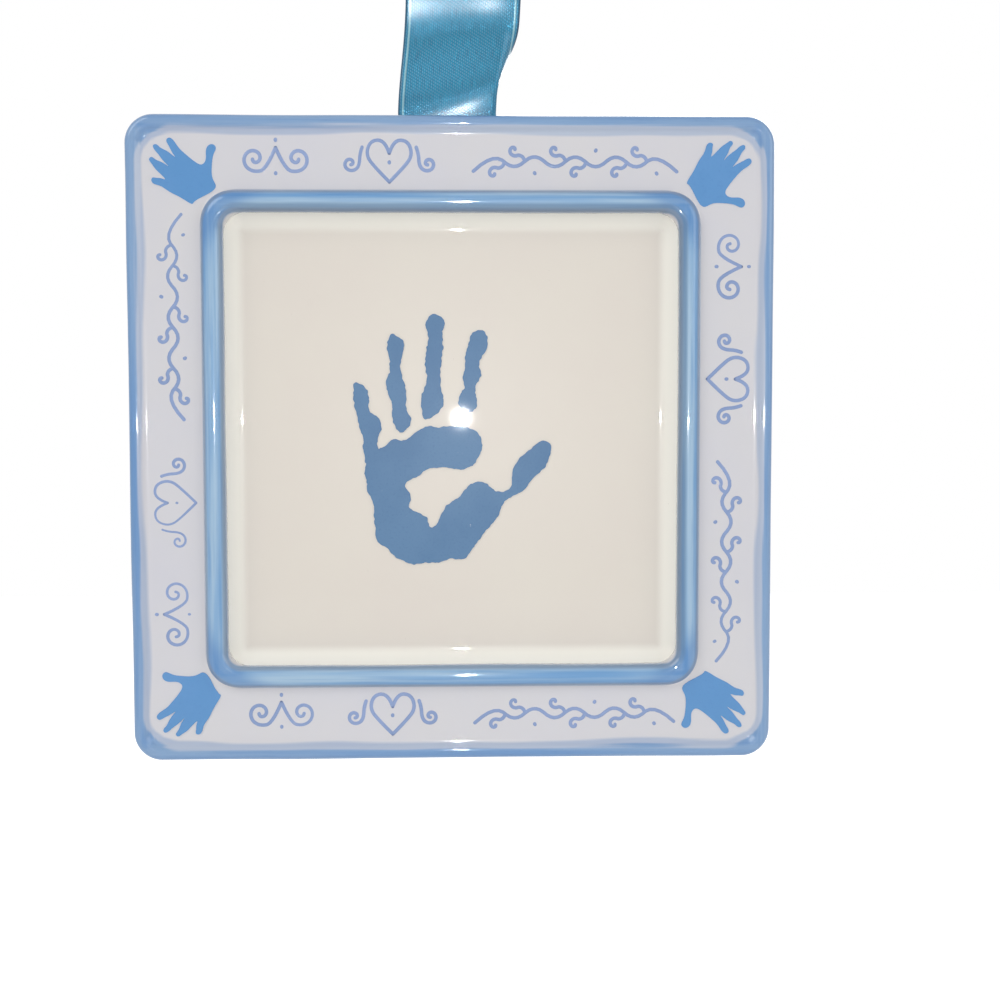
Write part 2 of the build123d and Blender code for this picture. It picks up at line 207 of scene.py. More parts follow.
class Graph:
    """A node tree in the making, with a short way to add each kind of node that the finishes use."""

    def __init__(self, tree: bpy.types.NodeTree) -> None:
        """Starts adding to a tree."""
        self.tree = tree

    def node(self, kind: str, **settings: object) -> bpy.types.Node:
        """Adds a shader node.

        Args:
            kind: The node's type name after "ShaderNode".
            settings: Properties of the node.

        Returns:
            The new node.
        """
        made = self.tree.nodes.new("ShaderNode" + kind)
        for name, value in settings.items():
            setattr(made, name, value)
        return made

    def out(self, node: bpy.types.Node, name: str | int = 0) -> Signal:
        """One output of a node, by its name or place."""
        return Signal(self, node.outputs[name])

    def feed(self, socket: bpy.types.NodeSocket, value: Value) -> None:
        """Links a signal into a socket, or sets the socket's own value.

        Args:
            socket: The socket to feed.
            value: The signal, number or colour.
        """
        if isinstance(value, Signal):
            self.tree.links.new(value.socket, socket)
        else:
            socket.default_value = value

    def dress(self, shader: bpy.types.Node, **values: Value) -> None:
        """Feeds a shader's own sockets by name, with _ for a space."""
        for name, value in values.items():
            self.feed(shader.inputs[name.replace("_", " ")], value)

    def math(self, operation: str, *values: Value) -> Signal:
        """Adds a math node.

        Args:
            operation: What it does, as Blender names it.
            values: What it reckons with.

        Returns:
            The result.
        """
        made = self.node("Math", operation=operation)
        for socket, value in zip(made.inputs, values):
            self.feed(socket, value)
        return self.out(made)

    def most(self, *values: Value) -> Signal:
        """The largest of some values."""
        return reduce(partial(self.math, "MAXIMUM"), values)

    def length(self, first: Signal, second: Signal) -> Signal:
        """Length of a flat vector with the given sides."""
        return self.math("SQRT", first ** 2.0 + second ** 2.0)

    def mix(self, share: Value, first: Value, second: Value) -> Signal:
        """Lays a colour over another.

        Args:
            share: How much of the second colour shows.
            first, second: The two colours.

        Returns:
            The mixed colour.
        """
        made = self.node("Mix", data_type="RGBA")
        for place, value in ((0, share), (6, first), (7, second)):
            self.feed(made.inputs[place], value)
        return self.out(made, 2)

    def place(self) -> Signal:
        """Object coordinates."""
        return self.out(self.node("TexCoord"), "Object")

    def split(self, vector: Signal) -> list[Signal]:
        """Takes a vector apart.

        Args:
            vector: The vector.

        Returns:
            Its three numbers.
        """
        made = self.node("SeparateXYZ")
        self.feed(made.inputs[0], vector)
        return [self.out(made, axis) for axis in range(3)]

    def stretched(self, scale: tuple[float, float, float], turn: float = 0.0,
                  where: Signal | None = None) -> Signal:
        """Coordinates, turned about Y and scaled along each axis.

        Args:
            scale: How many units of the pattern one unit holds, along x, y and z.
            turn: Angle about the Y axis, in radians.
            where: The coordinates, where they aren't the object's.

        Returns:
            The mapped coordinates.
        """
        made = self.node("Mapping")
        self.feed(made.inputs["Vector"], where or self.place())
        made.inputs["Scale"].default_value = scale
        made.inputs["Rotation"].default_value = (0.0, turn, 0.0)
        return self.out(made)

    def noise(self, where: Signal, detail: float, rough: float = 0.5) -> Signal:
        """Adds a noise texture.

        Args:
            where: The coordinates that it is read at.
            detail: How many finer layers it has.
            rough: How strong the finer layers are.

        Returns:
            The noise, from 0 to 1.
        """
        made = self.node("TexNoise")
        for name, value in (("Vector", where), ("Scale", 1.0), ("Detail", detail), ("Roughness", rough)):
            self.feed(made.inputs[name], value)
        return self.out(made, "Fac")

    def grain(self, scale: float, detail: float, rough: float = 0.5) -> Signal:
        """Noise over the object, the same along each axis."""
        return self.noise(self.stretched((scale, scale, scale)), detail, rough)

    def bump(self, height: Value, distance: float, normal: Signal | None = None) -> Signal:
        """Normal of a bumpy surface.

        Args:
            height: The bumps, from 0 to 1.
            distance: How high a bump of 1 stands, in metres.
            normal: The surface's normal under the bumps, where it has other bumps.

        Returns:
            The normal.
        """
        made = self.node("Bump")
        made.inputs["Distance"].default_value = distance
        self.feed(made.inputs["Height"], height)
        if normal is not None:
            self.feed(made.inputs["Normal"], normal)
        return self.out(made)

    def direct(self) -> Signal:
        """1 for rays that the camera sees straight, in a mirror or through glass, and 0 for the rest."""
        rays = self.node("LightPath")
        return self.most(*(self.out(rays, f"Is {kind} Ray") for kind in ("Camera", "Glossy", "Transmission")))

    def effect(self, effect: "Effect", **values: Value) -> dict[str, Signal]:
        """Places a shared effect in this tree, with its own values.

        Args:
            effect: The effect to place.
            values: Values by input name.

        Returns:
            The effect's results by name.
        """
        made = self.node("Group")
        made.node_tree = effect.group()
        for name, value in values.items():
            self.feed(made.inputs[name], value)
        return {output.name: Signal(self, output) for output in made.outputs}

    def inset(self, middle: float, half: float, corner: float) -> dict[str, Signal]:
        """Places the square inset of a rounded square round the plaque's middle."""
        return self.effect(Effect.SQUARE_INSET, Middle=middle, Half=half, Corner=corner)


class Effect(Enum):
    """Shader effects that more than one finish uses, each built once as a node group."""

    SQUARE_INSET = "square inset"
    GLAZE_SKIN = "glaze skin"
    BRUSHED_PAINT = "brushed paint"
    FIBRES = "fibres"

    def group(self) -> bpy.types.NodeTree:
        """Makes the effect's node group on its first use.

        Returns:
            The node group.
        """
        found = bpy.data.node_groups.get(self.value)
        if found:
            return found
        tree = bpy.data.node_groups.new(self.value, "ShaderNodeTree")
        makers: dict[Effect, Callable[[Graph], None]] = {
            Effect.SQUARE_INSET: make_square_inset,
            Effect.GLAZE_SKIN: make_glaze_skin,
            Effect.BRUSHED_PAINT: make_brushed_paint,
            Effect.FIBRES: make_fibres,
        }
        makers[self](Graph(tree))
        return tree


def open_sockets(graph: Graph, inputs: dict[str, float], outputs: dict[str, str]) -> tuple[dict, dict]:
    """Gives a group its named sockets.

    Args:
        graph: The group's graph.
        inputs: Each number that goes in, with its usual value.
        outputs: Each output, with its kind: Float, Color or Vector.

    Returns:
        The inputs' signals and the sockets to feed the outputs to, by name.
    """
    for name, usual in inputs.items():
        socket = graph.tree.interface.new_socket(name, in_out="INPUT", socket_type="NodeSocketFloat")
        socket.default_value = usual
    for name, kind in outputs.items():
        graph.tree.interface.new_socket(name, in_out="OUTPUT", socket_type="NodeSocket" + kind)
    entry = graph.tree.nodes.new("NodeGroupInput")
    exit_node = graph.tree.nodes.new("NodeGroupOutput")
    given = {name: graph.out(entry, name) for name in inputs}
    return given, {name: exit_node.inputs[name] for name in outputs}


def make_square_inset(graph: Graph) -> None:
    """Depth inside a rounded square round the plaque's middle, and whether an upright side is nearest.

    Args:
        graph: The group's graph.
    """
    given, result = open_sockets(
        graph, {"Middle": 0.0, "Half": 0.1, "Corner": 0.01}, {"Inset": "Float", "Upright": "Float"}
    )
    right, _, up = graph.split(graph.place())
    across, along = abs(right), abs(up - given["Middle"])
    core = given["Half"] - given["Corner"]
    side, top = across - core, along - core
    beyond = graph.length(graph.most(side, 0.0), graph.most(top, 0.0))
    within = graph.math("MINIMUM", graph.most(side, top), 0.0)
    graph.feed(result["Inset"], (beyond + within - given["Corner"]) * -1.0)
    graph.feed(result["Upright"], (across - along).step(-5 * MM, 5 * MM))


def make_glaze_skin(graph: Graph) -> None:
    """Slow waves, fine pores and a few pinholes of a fired glaze.

    Args:
        graph: The group's graph.
    """
    given, result = open_sockets(
        graph, {"Wave": 1.0, "Pinholes": 1.0}, {"Normal": "Vector", "Pinhole": "Float", "Mottle": "Float"}
    )
    rolling = graph.bump(graph.grain(60.0, 1.0, 0.4) * given["Wave"], 0.12 * MM)
    pinholes = graph.node("TexVoronoi")
    graph.feed(pinholes.inputs["Vector"], graph.stretched((42.0, 42.0, 42.0)))
    pit = graph.out(pinholes, "Distance").step(0.014, 0.008) * given["Pinholes"]
    graph.feed(result["Normal"], graph.bump(graph.grain(900.0, 2.0) * 0.25 - pit, 0.01 * MM, rolling))
    graph.feed(result["Pinhole"], pit)
    graph.feed(result["Mottle"], graph.grain(35.0, 4.0, 0.6))


def make_brushed_paint(graph: Graph) -> None:
    """Long strokes that follow the nearest side of the plaque.

    Args:
        graph: The group's graph.
    """
    given, result = open_sockets(
        graph, {"Upright": 0.0}, {"Stroke": "Float", "Bristle": "Float", "Drift": "Float"}
    )
    sized = (("Stroke", (14.0, 420.0, 420.0), 3.0), ("Bristle", (45.0, 1500.0, 1500.0), 2.0),
             ("Drift", (26.0, 90.0, 90.0), 1.0))
    for name, (length, depth, width), detail in sized:
        level = graph.noise(graph.stretched((length, depth, width)), detail)
        upright = graph.noise(graph.stretched((width, depth, length)), detail)
        made = graph.node("Mix", data_type="FLOAT")
        for place, value in ((0, given["Upright"]), (2, level), (3, upright)):
            graph.feed(made.inputs[place], value)
        graph.feed(result[name], graph.out(made))


def make_fibres(graph: Graph) -> None:
    """Matted fibres, short and crossing each other.

    Args:
        graph: The group's graph.
    """
    given, result = open_sockets(graph, {"Size": 1.0}, {"Fibre": "Float", "Clump": "Float"})
    crossed = []
    for turn in (0.4, 1.5, 2.6):
        where = graph.node("VectorMath", operation="SCALE")
        graph.feed(where.inputs[0], graph.stretched((4200.0, 2400.0, 500.0), turn))
        graph.feed(where.inputs["Scale"], given["Size"])
        crossed.append(graph.noise(graph.out(where), 2.0, 0.6))
    graph.feed(result["Fibre"], graph.most(*crossed))
    graph.feed(result["Clump"], graph.grain(300.0, 4.0, 0.6))


class Finish:
    """A surface finish, made into a material on its first use."""

    label: str

    def paint(self, graph: Graph, shader: bpy.types.Node) -> None:
        """Feeds the shader's sockets."""
        raise NotImplementedError

    def material(self) -> bpy.types.Material:
        """Makes the finish's material on its first use.

        Returns:
            The material.
        """
        found = bpy.data.materials.get(self.label)
        if found:
            return found
        made = bpy.data.materials.new(self.label)
        made.use_nodes = True
        self.paint(Graph(made.node_tree), made.node_tree.nodes["Principled BSDF"])
        return made


@dataclass(frozen=True)
class BorderGlaze(Finish):
    """White glaze of the surround, with blue brushed on its lip and bead and bare clay on its foot."""

    middle: float
    half: float
    bead_half: float
    foot: float
    label: str = "border glaze"
    white: Colour = screen(219, 217, 217)
    cool: Colour = screen(212, 212, 222)
    blue: Colour = screen(106, 158, 208)
    pale_blue_and_highlight: Colour = screen(164, 195, 220)
    deep_blue_and_shade: Colour = screen(64, 124, 188)
    bead_slope_shade: Colour = screen(84, 120, 156)
    pooled_glaze_and_shade: Colour = screen(126, 140, 160)
    clay: Colour = screen(214, 206, 190)
    lip_reach: float = 4.3 * MM
    lip_wider: float = 0.7 * MM
    lip_drift: float = 3.6 * MM
    lip_stray: float = 1.8 * MM
    lip_crest: float = 2.9 * MM
    lip_corner: float = 13.0 * MM
    wash_least: float = 0.45
    wash_most: float = 0.92
    painted_front: float = 7.5 * MM
    bead_reach: float = 3.05 * MM
    bead_crest: float = 0.6 * MM
    bead_corner: float = 7.0 * MM
    turn_corner: float = 26.0 * MM
    crease_line: float = 2.6 * MM
    slant: float = 12.0 * MM

    def on_lip(self, rim: dict[str, Signal], strokes: dict[str, Signal]) -> Signal:
        """Brushes the lip with a thin wash and a full coat that ends sooner.

        Args:
            rim: The inset from the plaque's outer edge.
            strokes: The brush strokes.

        Returns:
            How thick the paint is, from 0 to 1.
        """
        stroke = strokes["Stroke"] - 0.5
        uneven = (strokes["Drift"] - 0.5) * self.lip_drift + stroke * self.lip_stray
        edge = uneven + ((1.0 - rim["Upright"]) * self.lip_wider + self.lip_reach)
        past = rim["Inset"] - edge
        full = (past / edge + stroke * 0.8).step(-0.3, -0.48)
        return past.step(0.4 * MM, -0.7 * MM) * (full * (self.wash_most - self.wash_least) + self.wash_least)

    def brushed(self, graph: Graph, rim: dict[str, Signal], bead: dict[str, Signal],
                strokes: dict[str, Signal]) -> Signal:
        """Colours the paint: painted highlight over the crests, where the paint is also thinner, painted
        shade on steep faces, and darker in corners.

        Args:
            graph: The material's graph.
            rim: The inset from the plaque's outer edge.
            bead: The inset from the bead's middle line.
            strokes: The brush strokes.

        Returns:
            The paint's colour.
        """
        paint = graph.mix(strokes["Stroke"].step(0.32, 0.68), self.blue, self.pale_blue_and_highlight)
        paint = graph.mix(strokes["Bristle"].step(0.5, 0.8) * 0.35, paint, self.deep_blue_and_shade)
        # Painted highlight along the crests of the lip and bead, where the paint also lies thinner.
        crest_highlight = graph.most(rim["Inset"].near(self.lip_crest, 1.5 * MM, 0.2 * MM),
                            bead["Inset"].near(self.bead_crest, 1.4 * MM, 0.2 * MM))
        paint = graph.mix(crest_highlight * strokes["Drift"].step(0.3, 0.7) * 0.5, paint, self.pale_blue_and_highlight)
        # Painted shade on faces that turn away from the front; the corners get the same darker blue.
        facing = graph.split(graph.out(graph.node("NewGeometry"), "Normal"))[1] * -1.0
        turns = graph.inset(self.middle, self.bead_half, self.turn_corner)
        corners = graph.most(rim["Inset"].step(1 * MM, -3 * MM), turns["Inset"].step(-2 * MM, -7 * MM))
        return graph.mix(graph.most(facing.step(0.75, 0.15) * 0.5, corners * 0.55), paint, self.deep_blue_and_shade)

    def paint(self, graph: Graph, shader: bpy.types.Node) -> None:
        """Feeds the shader's sockets.

        Args:
            graph: The material's graph.
            shader: The shader to feed.
        """
        skin = graph.effect(Effect.GLAZE_SKIN, Wave=1.0, Pinholes=0.5)
        rim = graph.inset(self.middle, self.half, self.lip_corner)
        bead = graph.inset(self.middle, self.bead_half, self.bead_corner)
        strokes = graph.effect(Effect.BRUSHED_PAINT, Upright=rim["Upright"])
        right, depth, up = graph.split(graph.place())
        front = self.foot - self.painted_front
        before = depth.step(front, front - MM)
        off_line = abs(bead["Inset"])
        on_bead = off_line.step(self.bead_reach + 0.35 * MM, self.bead_reach - 0.15 * MM)
        painted = graph.most(self.on_lip(rim, strokes), on_bead * before)

        # Painted shade on the bead's inner slope along its top and right sides.
        upper_right = (right + (up - self.middle)).step(-self.slant, self.slant)
        shaded_slope = bead["Inset"].step(0.3 * MM, 1.4 * MM) * upper_right * on_bead
        paint = graph.mix(shaded_slope * 0.65, self.brushed(graph, rim, bead, strokes), self.bead_slope_shade)
        colour = graph.mix(painted, graph.mix(skin["Mottle"], self.white, self.cool), paint)
        # Painted shade in the crease at the bead's outer foot, where glaze also pools; the pinholes take the
        # same dark colour.
        crease_shade = off_line.near(self.crease_line, 1.0 * MM, 0.1 * MM) * before
        colour = graph.mix(crease_shade * 0.6, colour, self.pooled_glaze_and_shade)
        colour = graph.mix(skin["Pinhole"], colour, self.pooled_glaze_and_shade)
        bare = depth.step(self.foot - 0.45 * MM, self.foot - 0.2 * MM)
        graph.dress(shader, Base_Color=graph.mix(bare, colour, self.clay), Roughness=bare * 0.5 + 0.3,
                    Coat_Weight=1.0 - bare, Coat_Roughness=0.045, Specular_IOR_Level=0.15,
                    Normal=skin["Normal"])


@dataclass(frozen=True)
class TileGlaze(Finish):
    """Cream glaze of the tile, with painted light on its sloped margin against the shade of the bead."""

    middle: float
    field_half: float
    label: str = "tile glaze"
    cream: Colour = screen(230, 224, 212)
    warm: Colour = screen(226, 217, 208)
    lit_margin: Colour = screen(249, 245, 234)
    speck: Colour = screen(120, 104, 92)

    def paint(self, graph: Graph, shader: bpy.types.Node) -> None:
        """Feeds the shader's sockets.

        Args:
            graph: The material's graph.
            shader: The shader to feed.
        """
        skin = graph.effect(Effect.GLAZE_SKIN, Wave=0.25, Pinholes=1.0)
        sloped = graph.inset(self.middle, self.field_half, 1.0 * MM)["Inset"].step(1.8 * MM, -1.4 * MM)
        # Painted light: the sloped margin is made lighter to lift the shade that the bead casts on it.
        colour = graph.mix(sloped, graph.mix(skin["Mottle"], self.cream, self.warm), self.lit_margin)
        graph.dress(shader, Base_Color=graph.mix(skin["Pinhole"], colour, self.speck), Roughness=0.34,
                    Coat_Weight=1.0 - sloped * 0.8, Coat_Roughness=0.022, Specular_IOR_Level=0.15,
                    Normal=skin["Normal"])


@dataclass(frozen=True)
class PrintPaint(Finish):
    """Flat paint under the same clear glaze."""

    label: str = "print paint"
    tone: Colour = screen(74, 118, 161)
    other: Colour = screen(84, 127, 168)
    edge: Colour = screen(66, 108, 153)
    fleck: Colour = screen(196, 212, 222)
    flecks: float = 0.0

    def paint(self, graph: Graph, shader: bpy.types.Node) -> None:
        """Feeds the shader's sockets.

        Args:
            graph: The material's graph.
            shader: The shader to feed.
        """
        skin = graph.effect(Effect.GLAZE_SKIN, Wave=0.25, Pinholes=0.0)
        colour = graph.mix(skin["Mottle"].step(0.35, 0.65), self.tone, self.other)
        colour = graph.mix(graph.grain(1400.0, 2.0).step(0.5, 0.8) * 0.4, colour, self.edge)
        missed = graph.grain(520.0, 3.0, 0.7).step(0.72, 0.78)
        graph.dress(shader, Base_Color=graph.mix(missed * self.flecks, colour, self.fleck), Roughness=0.34,
                    Coat_Weight=1.0, Coat_Roughness=0.022, Specular_IOR_Level=0.15, Normal=skin["Normal"])


@dataclass(frozen=True)
class Satin(Finish):
    """Woven satin that reads its place on the cloth, in millimetres, from the attribute "cloth"."""

    width: float
    label: str = "ribbon satin"
    deep: Colour = screen(0, 99, 135)
    light: Colour = screen(12, 131, 167)
    glint: Colour = screen(190, 230, 230)
    shade: Colour = screen(16, 66, 96)
    thread: float = 0.56
    float_length: float = 0.9
    slant: float = 0.38
    selvage: float = 1.35

    def paint(self, graph: Graph, shader: bpy.types.Node) -> None:
        """Feeds the shader's sockets.

        Args:
            graph: The material's graph.
            shader: The shader to feed.
        """
        cloth = graph.out(graph.node("Attribute", attribute_name="cloth"), "Vector")
        across, along, _ = graph.split(cloth)
        column = across / self.thread
        row = along / self.float_length + graph.math("FLOOR", column) * self.slant
        reach = graph.length(*(graph.math("FRACT", value) - 0.5 for value in (column, row)))
        float_top = reach.step(0.6, 0.0)
        filament = graph.noise(graph.stretched((7.0, 0.25, 1.0), where=cloth), 2.0, 0.6)
        from_edge = self.width / 2 - abs(across)
        selvage, hem = from_edge.near(self.selvage, 0.4, 0.1), from_edge.step(0.75, 0.3)
        colour = graph.mix(filament.step(0.3, 0.7), self.deep, self.light)
        colour = graph.mix(float_top * 0.1, colour, self.glint)
        colour = graph.mix(selvage * 0.45, colour, self.glint)
        colour = graph.mix(hem * 0.75, colour, self.shade)
        ridge = float_top * 0.7 + filament * 0.35 + selvage
        graph.dress(shader, Base_Color=colour, Metallic=0.36, Roughness=hem * 0.3 + 0.18,
                    Coat_Weight=reach.step(0.62, 0.2) * 0.65 + 0.35, Coat_Roughness=0.2,
                    Specular_IOR_Level=0.3, Normal=graph.bump(ridge, 0.08 * MM))


@dataclass(frozen=True)
class Fibrous(Finish):
    """Felt or hardboard: matted fibres in two tones."""

    label: str
    tone: Colour
    other: Colour
    size: float
    relief: float
    roughness: float = 0.9

    def paint(self, graph: Graph, shader: bpy.types.Node) -> None:
        """Feeds the shader's sockets.

        Args:
            graph: The material's graph.
            shader: The shader to feed.
        """
        fibres = graph.effect(Effect.FIBRES, Size=self.size)
        tone = graph.mix(fibres["Clump"].step(0.3, 0.7), self.tone, self.other)
        colour = graph.mix(fibres["Fibre"].step(0.45, 0.75) * 0.35, tone, self.other)
        graph.dress(shader, Base_Color=colour, Roughness=self.roughness, Specular_IOR_Level=0.2,
                    Normal=graph.bump(fibres["Fibre"], self.relief))


@dataclass(frozen=True)
class Metal(Finish):
    """Stamped or drawn metal with fine scratches and dull patches."""

    label: str
    tone: Colour
    dull: Colour
    roughness: float

    def paint(self, graph: Graph, shader: bpy.types.Node) -> None:
        """Feeds the shader's sockets.

        Args:
            graph: The material's graph.
            shader: The shader to feed.
        """
        worn = graph.grain(220.0, 5.0, 0.6).step(0.45, 0.7)
        scratches = graph.noise(graph.stretched((600.0, 6000.0, 9000.0), 0.5), 2.0)
        graph.dress(shader, Base_Color=graph.mix(worn, self.tone, self.dull), Metallic=1.0,
                    Roughness=worn * 0.18 + self.roughness, Normal=graph.bump(scratches, 0.01 * MM))


@dataclass(frozen=True)
class Plastic(Finish):
    """Moulded plastic with a faint grain."""

    label: str
    tone: Colour
    other: Colour

    def paint(self, graph: Graph, shader: bpy.types.Node) -> None:
        """Feeds the shader's sockets.

        Args:
            graph: The material's graph.
            shader: The shader to feed.
        """
        grain = graph.grain(1800.0, 3.0)
        graph.dress(shader, Base_Color=graph.mix(grain.step(0.4, 0.7), self.tone, self.other), Roughness=0.45,
                    Normal=graph.bump(grain, 0.02 * MM))


@dataclass(frozen=True)
class Backdrop(Finish):
    """Pale floor that the camera and every mirror see white, with the object's shadow kept."""

    label: str = "floor"
    pale: Colour = screen(238, 238, 238)
    glow: float = 0.75

    def paint(self, graph: Graph, shader: bpy.types.Node) -> None:
        """Feeds the shader's sockets."""
        graph.dress(shader, Base_Color=self.pale, Roughness=0.9, Emission_Color=WHITE,
                    Emission_Strength=graph.direct() * self.glow)


GROUND_FINISH = Backdrop()


# ---- meshes --------------------------------------------------------------------------------------


@dataclass(frozen=True)
class Plaque:
    """Where the plaque hangs: half its side, the plane of its back and its middle."""

    half: float
    back: float
    middle: float

    @classmethod
    def measured(cls) -> "Plaque":
        """Reads the plaque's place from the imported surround."""
        low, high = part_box("frame_surround")
        return cls(half=(high.x - low.x) / 2, back=high.y, middle=(low.z + high.z) / 2)

    def placing(self) -> Matrix:
        """Hangs a mesh that is drawn face up round its own middle."""
        return Matrix.Translation((0, self.back, self.middle)) @ Matrix.Rotation(pi / 2, 4, "X")


@dataclass(frozen=True)
class Ring:
    """One closed edge round the plaque: half its width, its height over the back and its corner's radius.

    Where rounding is given, the edge is rounded off with that setback and that many segments.
    """

    half: float
    height: float
    corner: float
    rounding: float = 0.0
    segments: int = 4


def only(kind: type, parts: Sequence[object]) -> list:
    """The parts of one kind: BMVert, BMEdge or BMFace."""
    return [part for part in parts if isinstance(part, kind)]


def square_loop(mesh: bmesh.types.BMesh, ring: Ring, arc_steps: int,
                side_cuts: int) -> list[bmesh.types.BMEdge]:
    """Draws a ring's closed edge.

    Args:
        mesh: The mesh to draw in.
        ring: The ring.
        arc_steps: Edges round each corner.
        side_cuts: Points along each straight side.

    Returns:
        The ring's edges.
    """
    older = set(mesh.edges)
    flat = bmesh.ops.create_grid(mesh, x_segments=1, y_segments=1, size=ring.half,
                                 matrix=Matrix.Translation((0, 0, ring.height)))
    bmesh.ops.bevel(mesh, geom=flat["verts"], offset=ring.corner, offset_type="OFFSET", segments=arc_steps,
                    profile=0.5, affect="VERTICES", material=-1)
    edges = [edge for edge in mesh.edges if edge not in older]
    faces = {face for edge in edges for face in edge.link_faces}
    bmesh.ops.delete(mesh, geom=list(faces), context="FACES_ONLY")
    straight = [edge for edge in edges if edge.calc_length() > ring.half]
    bmesh.ops.subdivide_edges(mesh, edges=straight, cuts=side_cuts)
    return [edge for edge in mesh.edges if edge not in older]


def round_off(mesh: bmesh.types.BMesh, edges: Sequence[bmesh.types.BMEdge], setback: float,
              segments: int) -> None:
    """Rounds edges off with an arc."""
    bmesh.ops.bevel(mesh, geom=list(edges), offset=setback, offset_type="OFFSET", segments=segments,
                    profile=0.5, affect="EDGES", material=-1)


def reshaped(point: Vector, ring: Ring, after: Ring) -> Vector:
    """Moves a point to another ring: along a side in proportion, round a corner at the same angle.

    Args:
        point: The point.
        ring: The ring that it is on.
        after: The ring that it goes to.

    Returns:
        Its place there.
    """
    core, core_after = ring.half - ring.corner, after.half - after.corner
    moved = []
    for value in (point.x, point.y):
        beyond = abs(value) - core
        if beyond > 0:
            reach = core_after + beyond * after.corner / ring.corner
        else:
            reach = abs(value) * core_after / core
        moved.append(reach if value > 0 else -reach)
    return Vector((*moved, after.height))


def ring_stack(rings: Sequence[Ring], closed: bool, arc_steps: int, side_cuts: int) -> bmesh.types.BMesh:
    """Draws a skin from ring to ring.

    Args:
        rings: The rings, in the order that the skin passes them.
        closed: Whether the skin comes back to the first ring; otherwise both end rings get a face.
        arc_steps: Edges round each corner.
        side_cuts: Points along each straight side.

    Returns:
        The mesh, drawn face up.
    """
    mesh = bmesh.new()
    loops = [square_loop(mesh, rings[0], arc_steps, side_cuts)]
    for ring, after in zip(rings, [*rings[1:], rings[0]] if closed else rings[1:]):
        drawn = bmesh.ops.extrude_edge_only(mesh, edges=loops[-1])["geom"]
        loops.append(only(bmesh.types.BMEdge, drawn))
        for vert in only(bmesh.types.BMVert, drawn):
            vert.co = reshaped(vert.co, ring, after)
    if closed:
        bmesh.ops.remove_doubles(mesh, verts=mesh.verts, dist=SEAM_MERGE)
    else:
        for loop in (loops[0], loops[-1]):
            bmesh.ops.edgeloop_fill(mesh, edges=loop)
    for ring, loop in zip(rings, loops):
        if ring.rounding:
            round_off(mesh, loop, ring.rounding, ring.segments)
    return mesh


def stir(mesh: bmesh.types.BMesh, wave: float, size: float) -> None:
    """Moves each point a little along its normal, as hand work and firing leave it.

    Args:
        mesh: The mesh to stir.
        wave: Length of the unevenness.
        size: How far a point may move.
    """
    mesh.normal_update()
    moved = [(vert, vert.normal * noise.noise(vert.co / wave) * size) for vert in mesh.verts]
    for vert, shift in moved:
        vert.co += shift


def to_piece(mesh: bmesh.types.BMesh, name: str, finish: Finish, place: Matrix,
             sharp: float = SHARP_FROM) -> bpy.types.Object:
    """Turns a mesh into an object with its place in its mesh.

    Args:
        mesh: The finished mesh, which is freed.
        name: The piece's name.
        finish: What it is finished in.
        place: Where the mesh goes.
        sharp: Angle in degrees over which an edge is shaded sharp.

    Returns:
        The new object.
    """
    bmesh.ops.transform(mesh, matrix=place, verts=mesh.verts)
    bmesh.ops.recalc_face_normals(mesh, faces=mesh.faces)
    if all(edge.is_manifold for edge in mesh.edges) and mesh.calc_volume(signed=True) < 0:
        bmesh.ops.reverse_faces(mesh, faces=mesh.faces)
    data = bpy.data.meshes.new(name)
    mesh.to_mesh(data)
    mesh.free()
    data.shade_smooth()
    data.set_sharp_from_angle(angle=radians(sharp))
    data.materials.append(finish.material())
    made = bpy.data.objects.new(name, data)
    bpy.context.scene.collection.objects.link(made)
    return made


def bake(piece: bpy.types.Object) -> None:
    """Applies a piece's modifiers to its mesh.

    Args:
        piece: The piece.
    """
    bpy.context.view_layer.update()
    result = bpy.data.meshes.new_from_object(piece.evaluated_get(bpy.context.evaluated_depsgraph_get()))
    piece.modifiers.clear()
    piece.data = result


def cut(target: bpy.types.Object, tool: bpy.types.Object, way: Cut) -> None:
    """Adds a tool's body to a piece or takes it away, and removes the tool.

    Args:
        target: The piece.
        tool: The tool's object.
        way: Whether its body is added or taken away.
    """
    boolean = target.modifiers.new("cut", "BOOLEAN")
    boolean.operation = way.value
    boolean.solver = "EXACT"
    boolean.object = tool
    bake(target)
    bpy.data.objects.remove(tool)


def copied(node: str) -> bmesh.types.BMesh:
    """Copies a carried-over node's mesh, merged and with its flat faces whole again.

    Args:
        node: The node.

    Returns:
        The copy.
    """
    mesh = bmesh.new()
    mesh.from_mesh(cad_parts[node].data)
    bmesh.ops.remove_doubles(mesh, verts=mesh.verts, dist=COPY_MERGE)
    bmesh.ops.dissolve_limit(mesh, angle_limit=radians(FLAT_WITHIN), verts=mesh.verts, edges=mesh.edges)
    return mesh


def softened(node: str, finish: Finish, edge: float, body: str = "plaque") -> bpy.types.Object:
    """Makes a piece from a node's own shape, with its sharp edges rounded.

    Args:
        node: The node that the piece stands for.
        finish: What it is finished in.
        edge: Setback of the rounding.
        body: The body that it rides on.

    Returns:
        The new piece.
    """
    piece = to_piece(copied(node), f"finished_{node}", finish, Matrix.Identity(4))
    rounding = piece.modifiers.new("rounding", "BEVEL")
    rounding.limit_method = "ANGLE"
    rounding.angle_limit = radians(ROUNDED_FROM)
    rounding.width = edge
    rounding.segments = 3
    bake(piece)
    piece.data.shade_smooth()
    piece.data.set_sharp_from_angle(angle=radians(SHARP_FROM))
    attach(piece, body)
    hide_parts(node)
    return piece


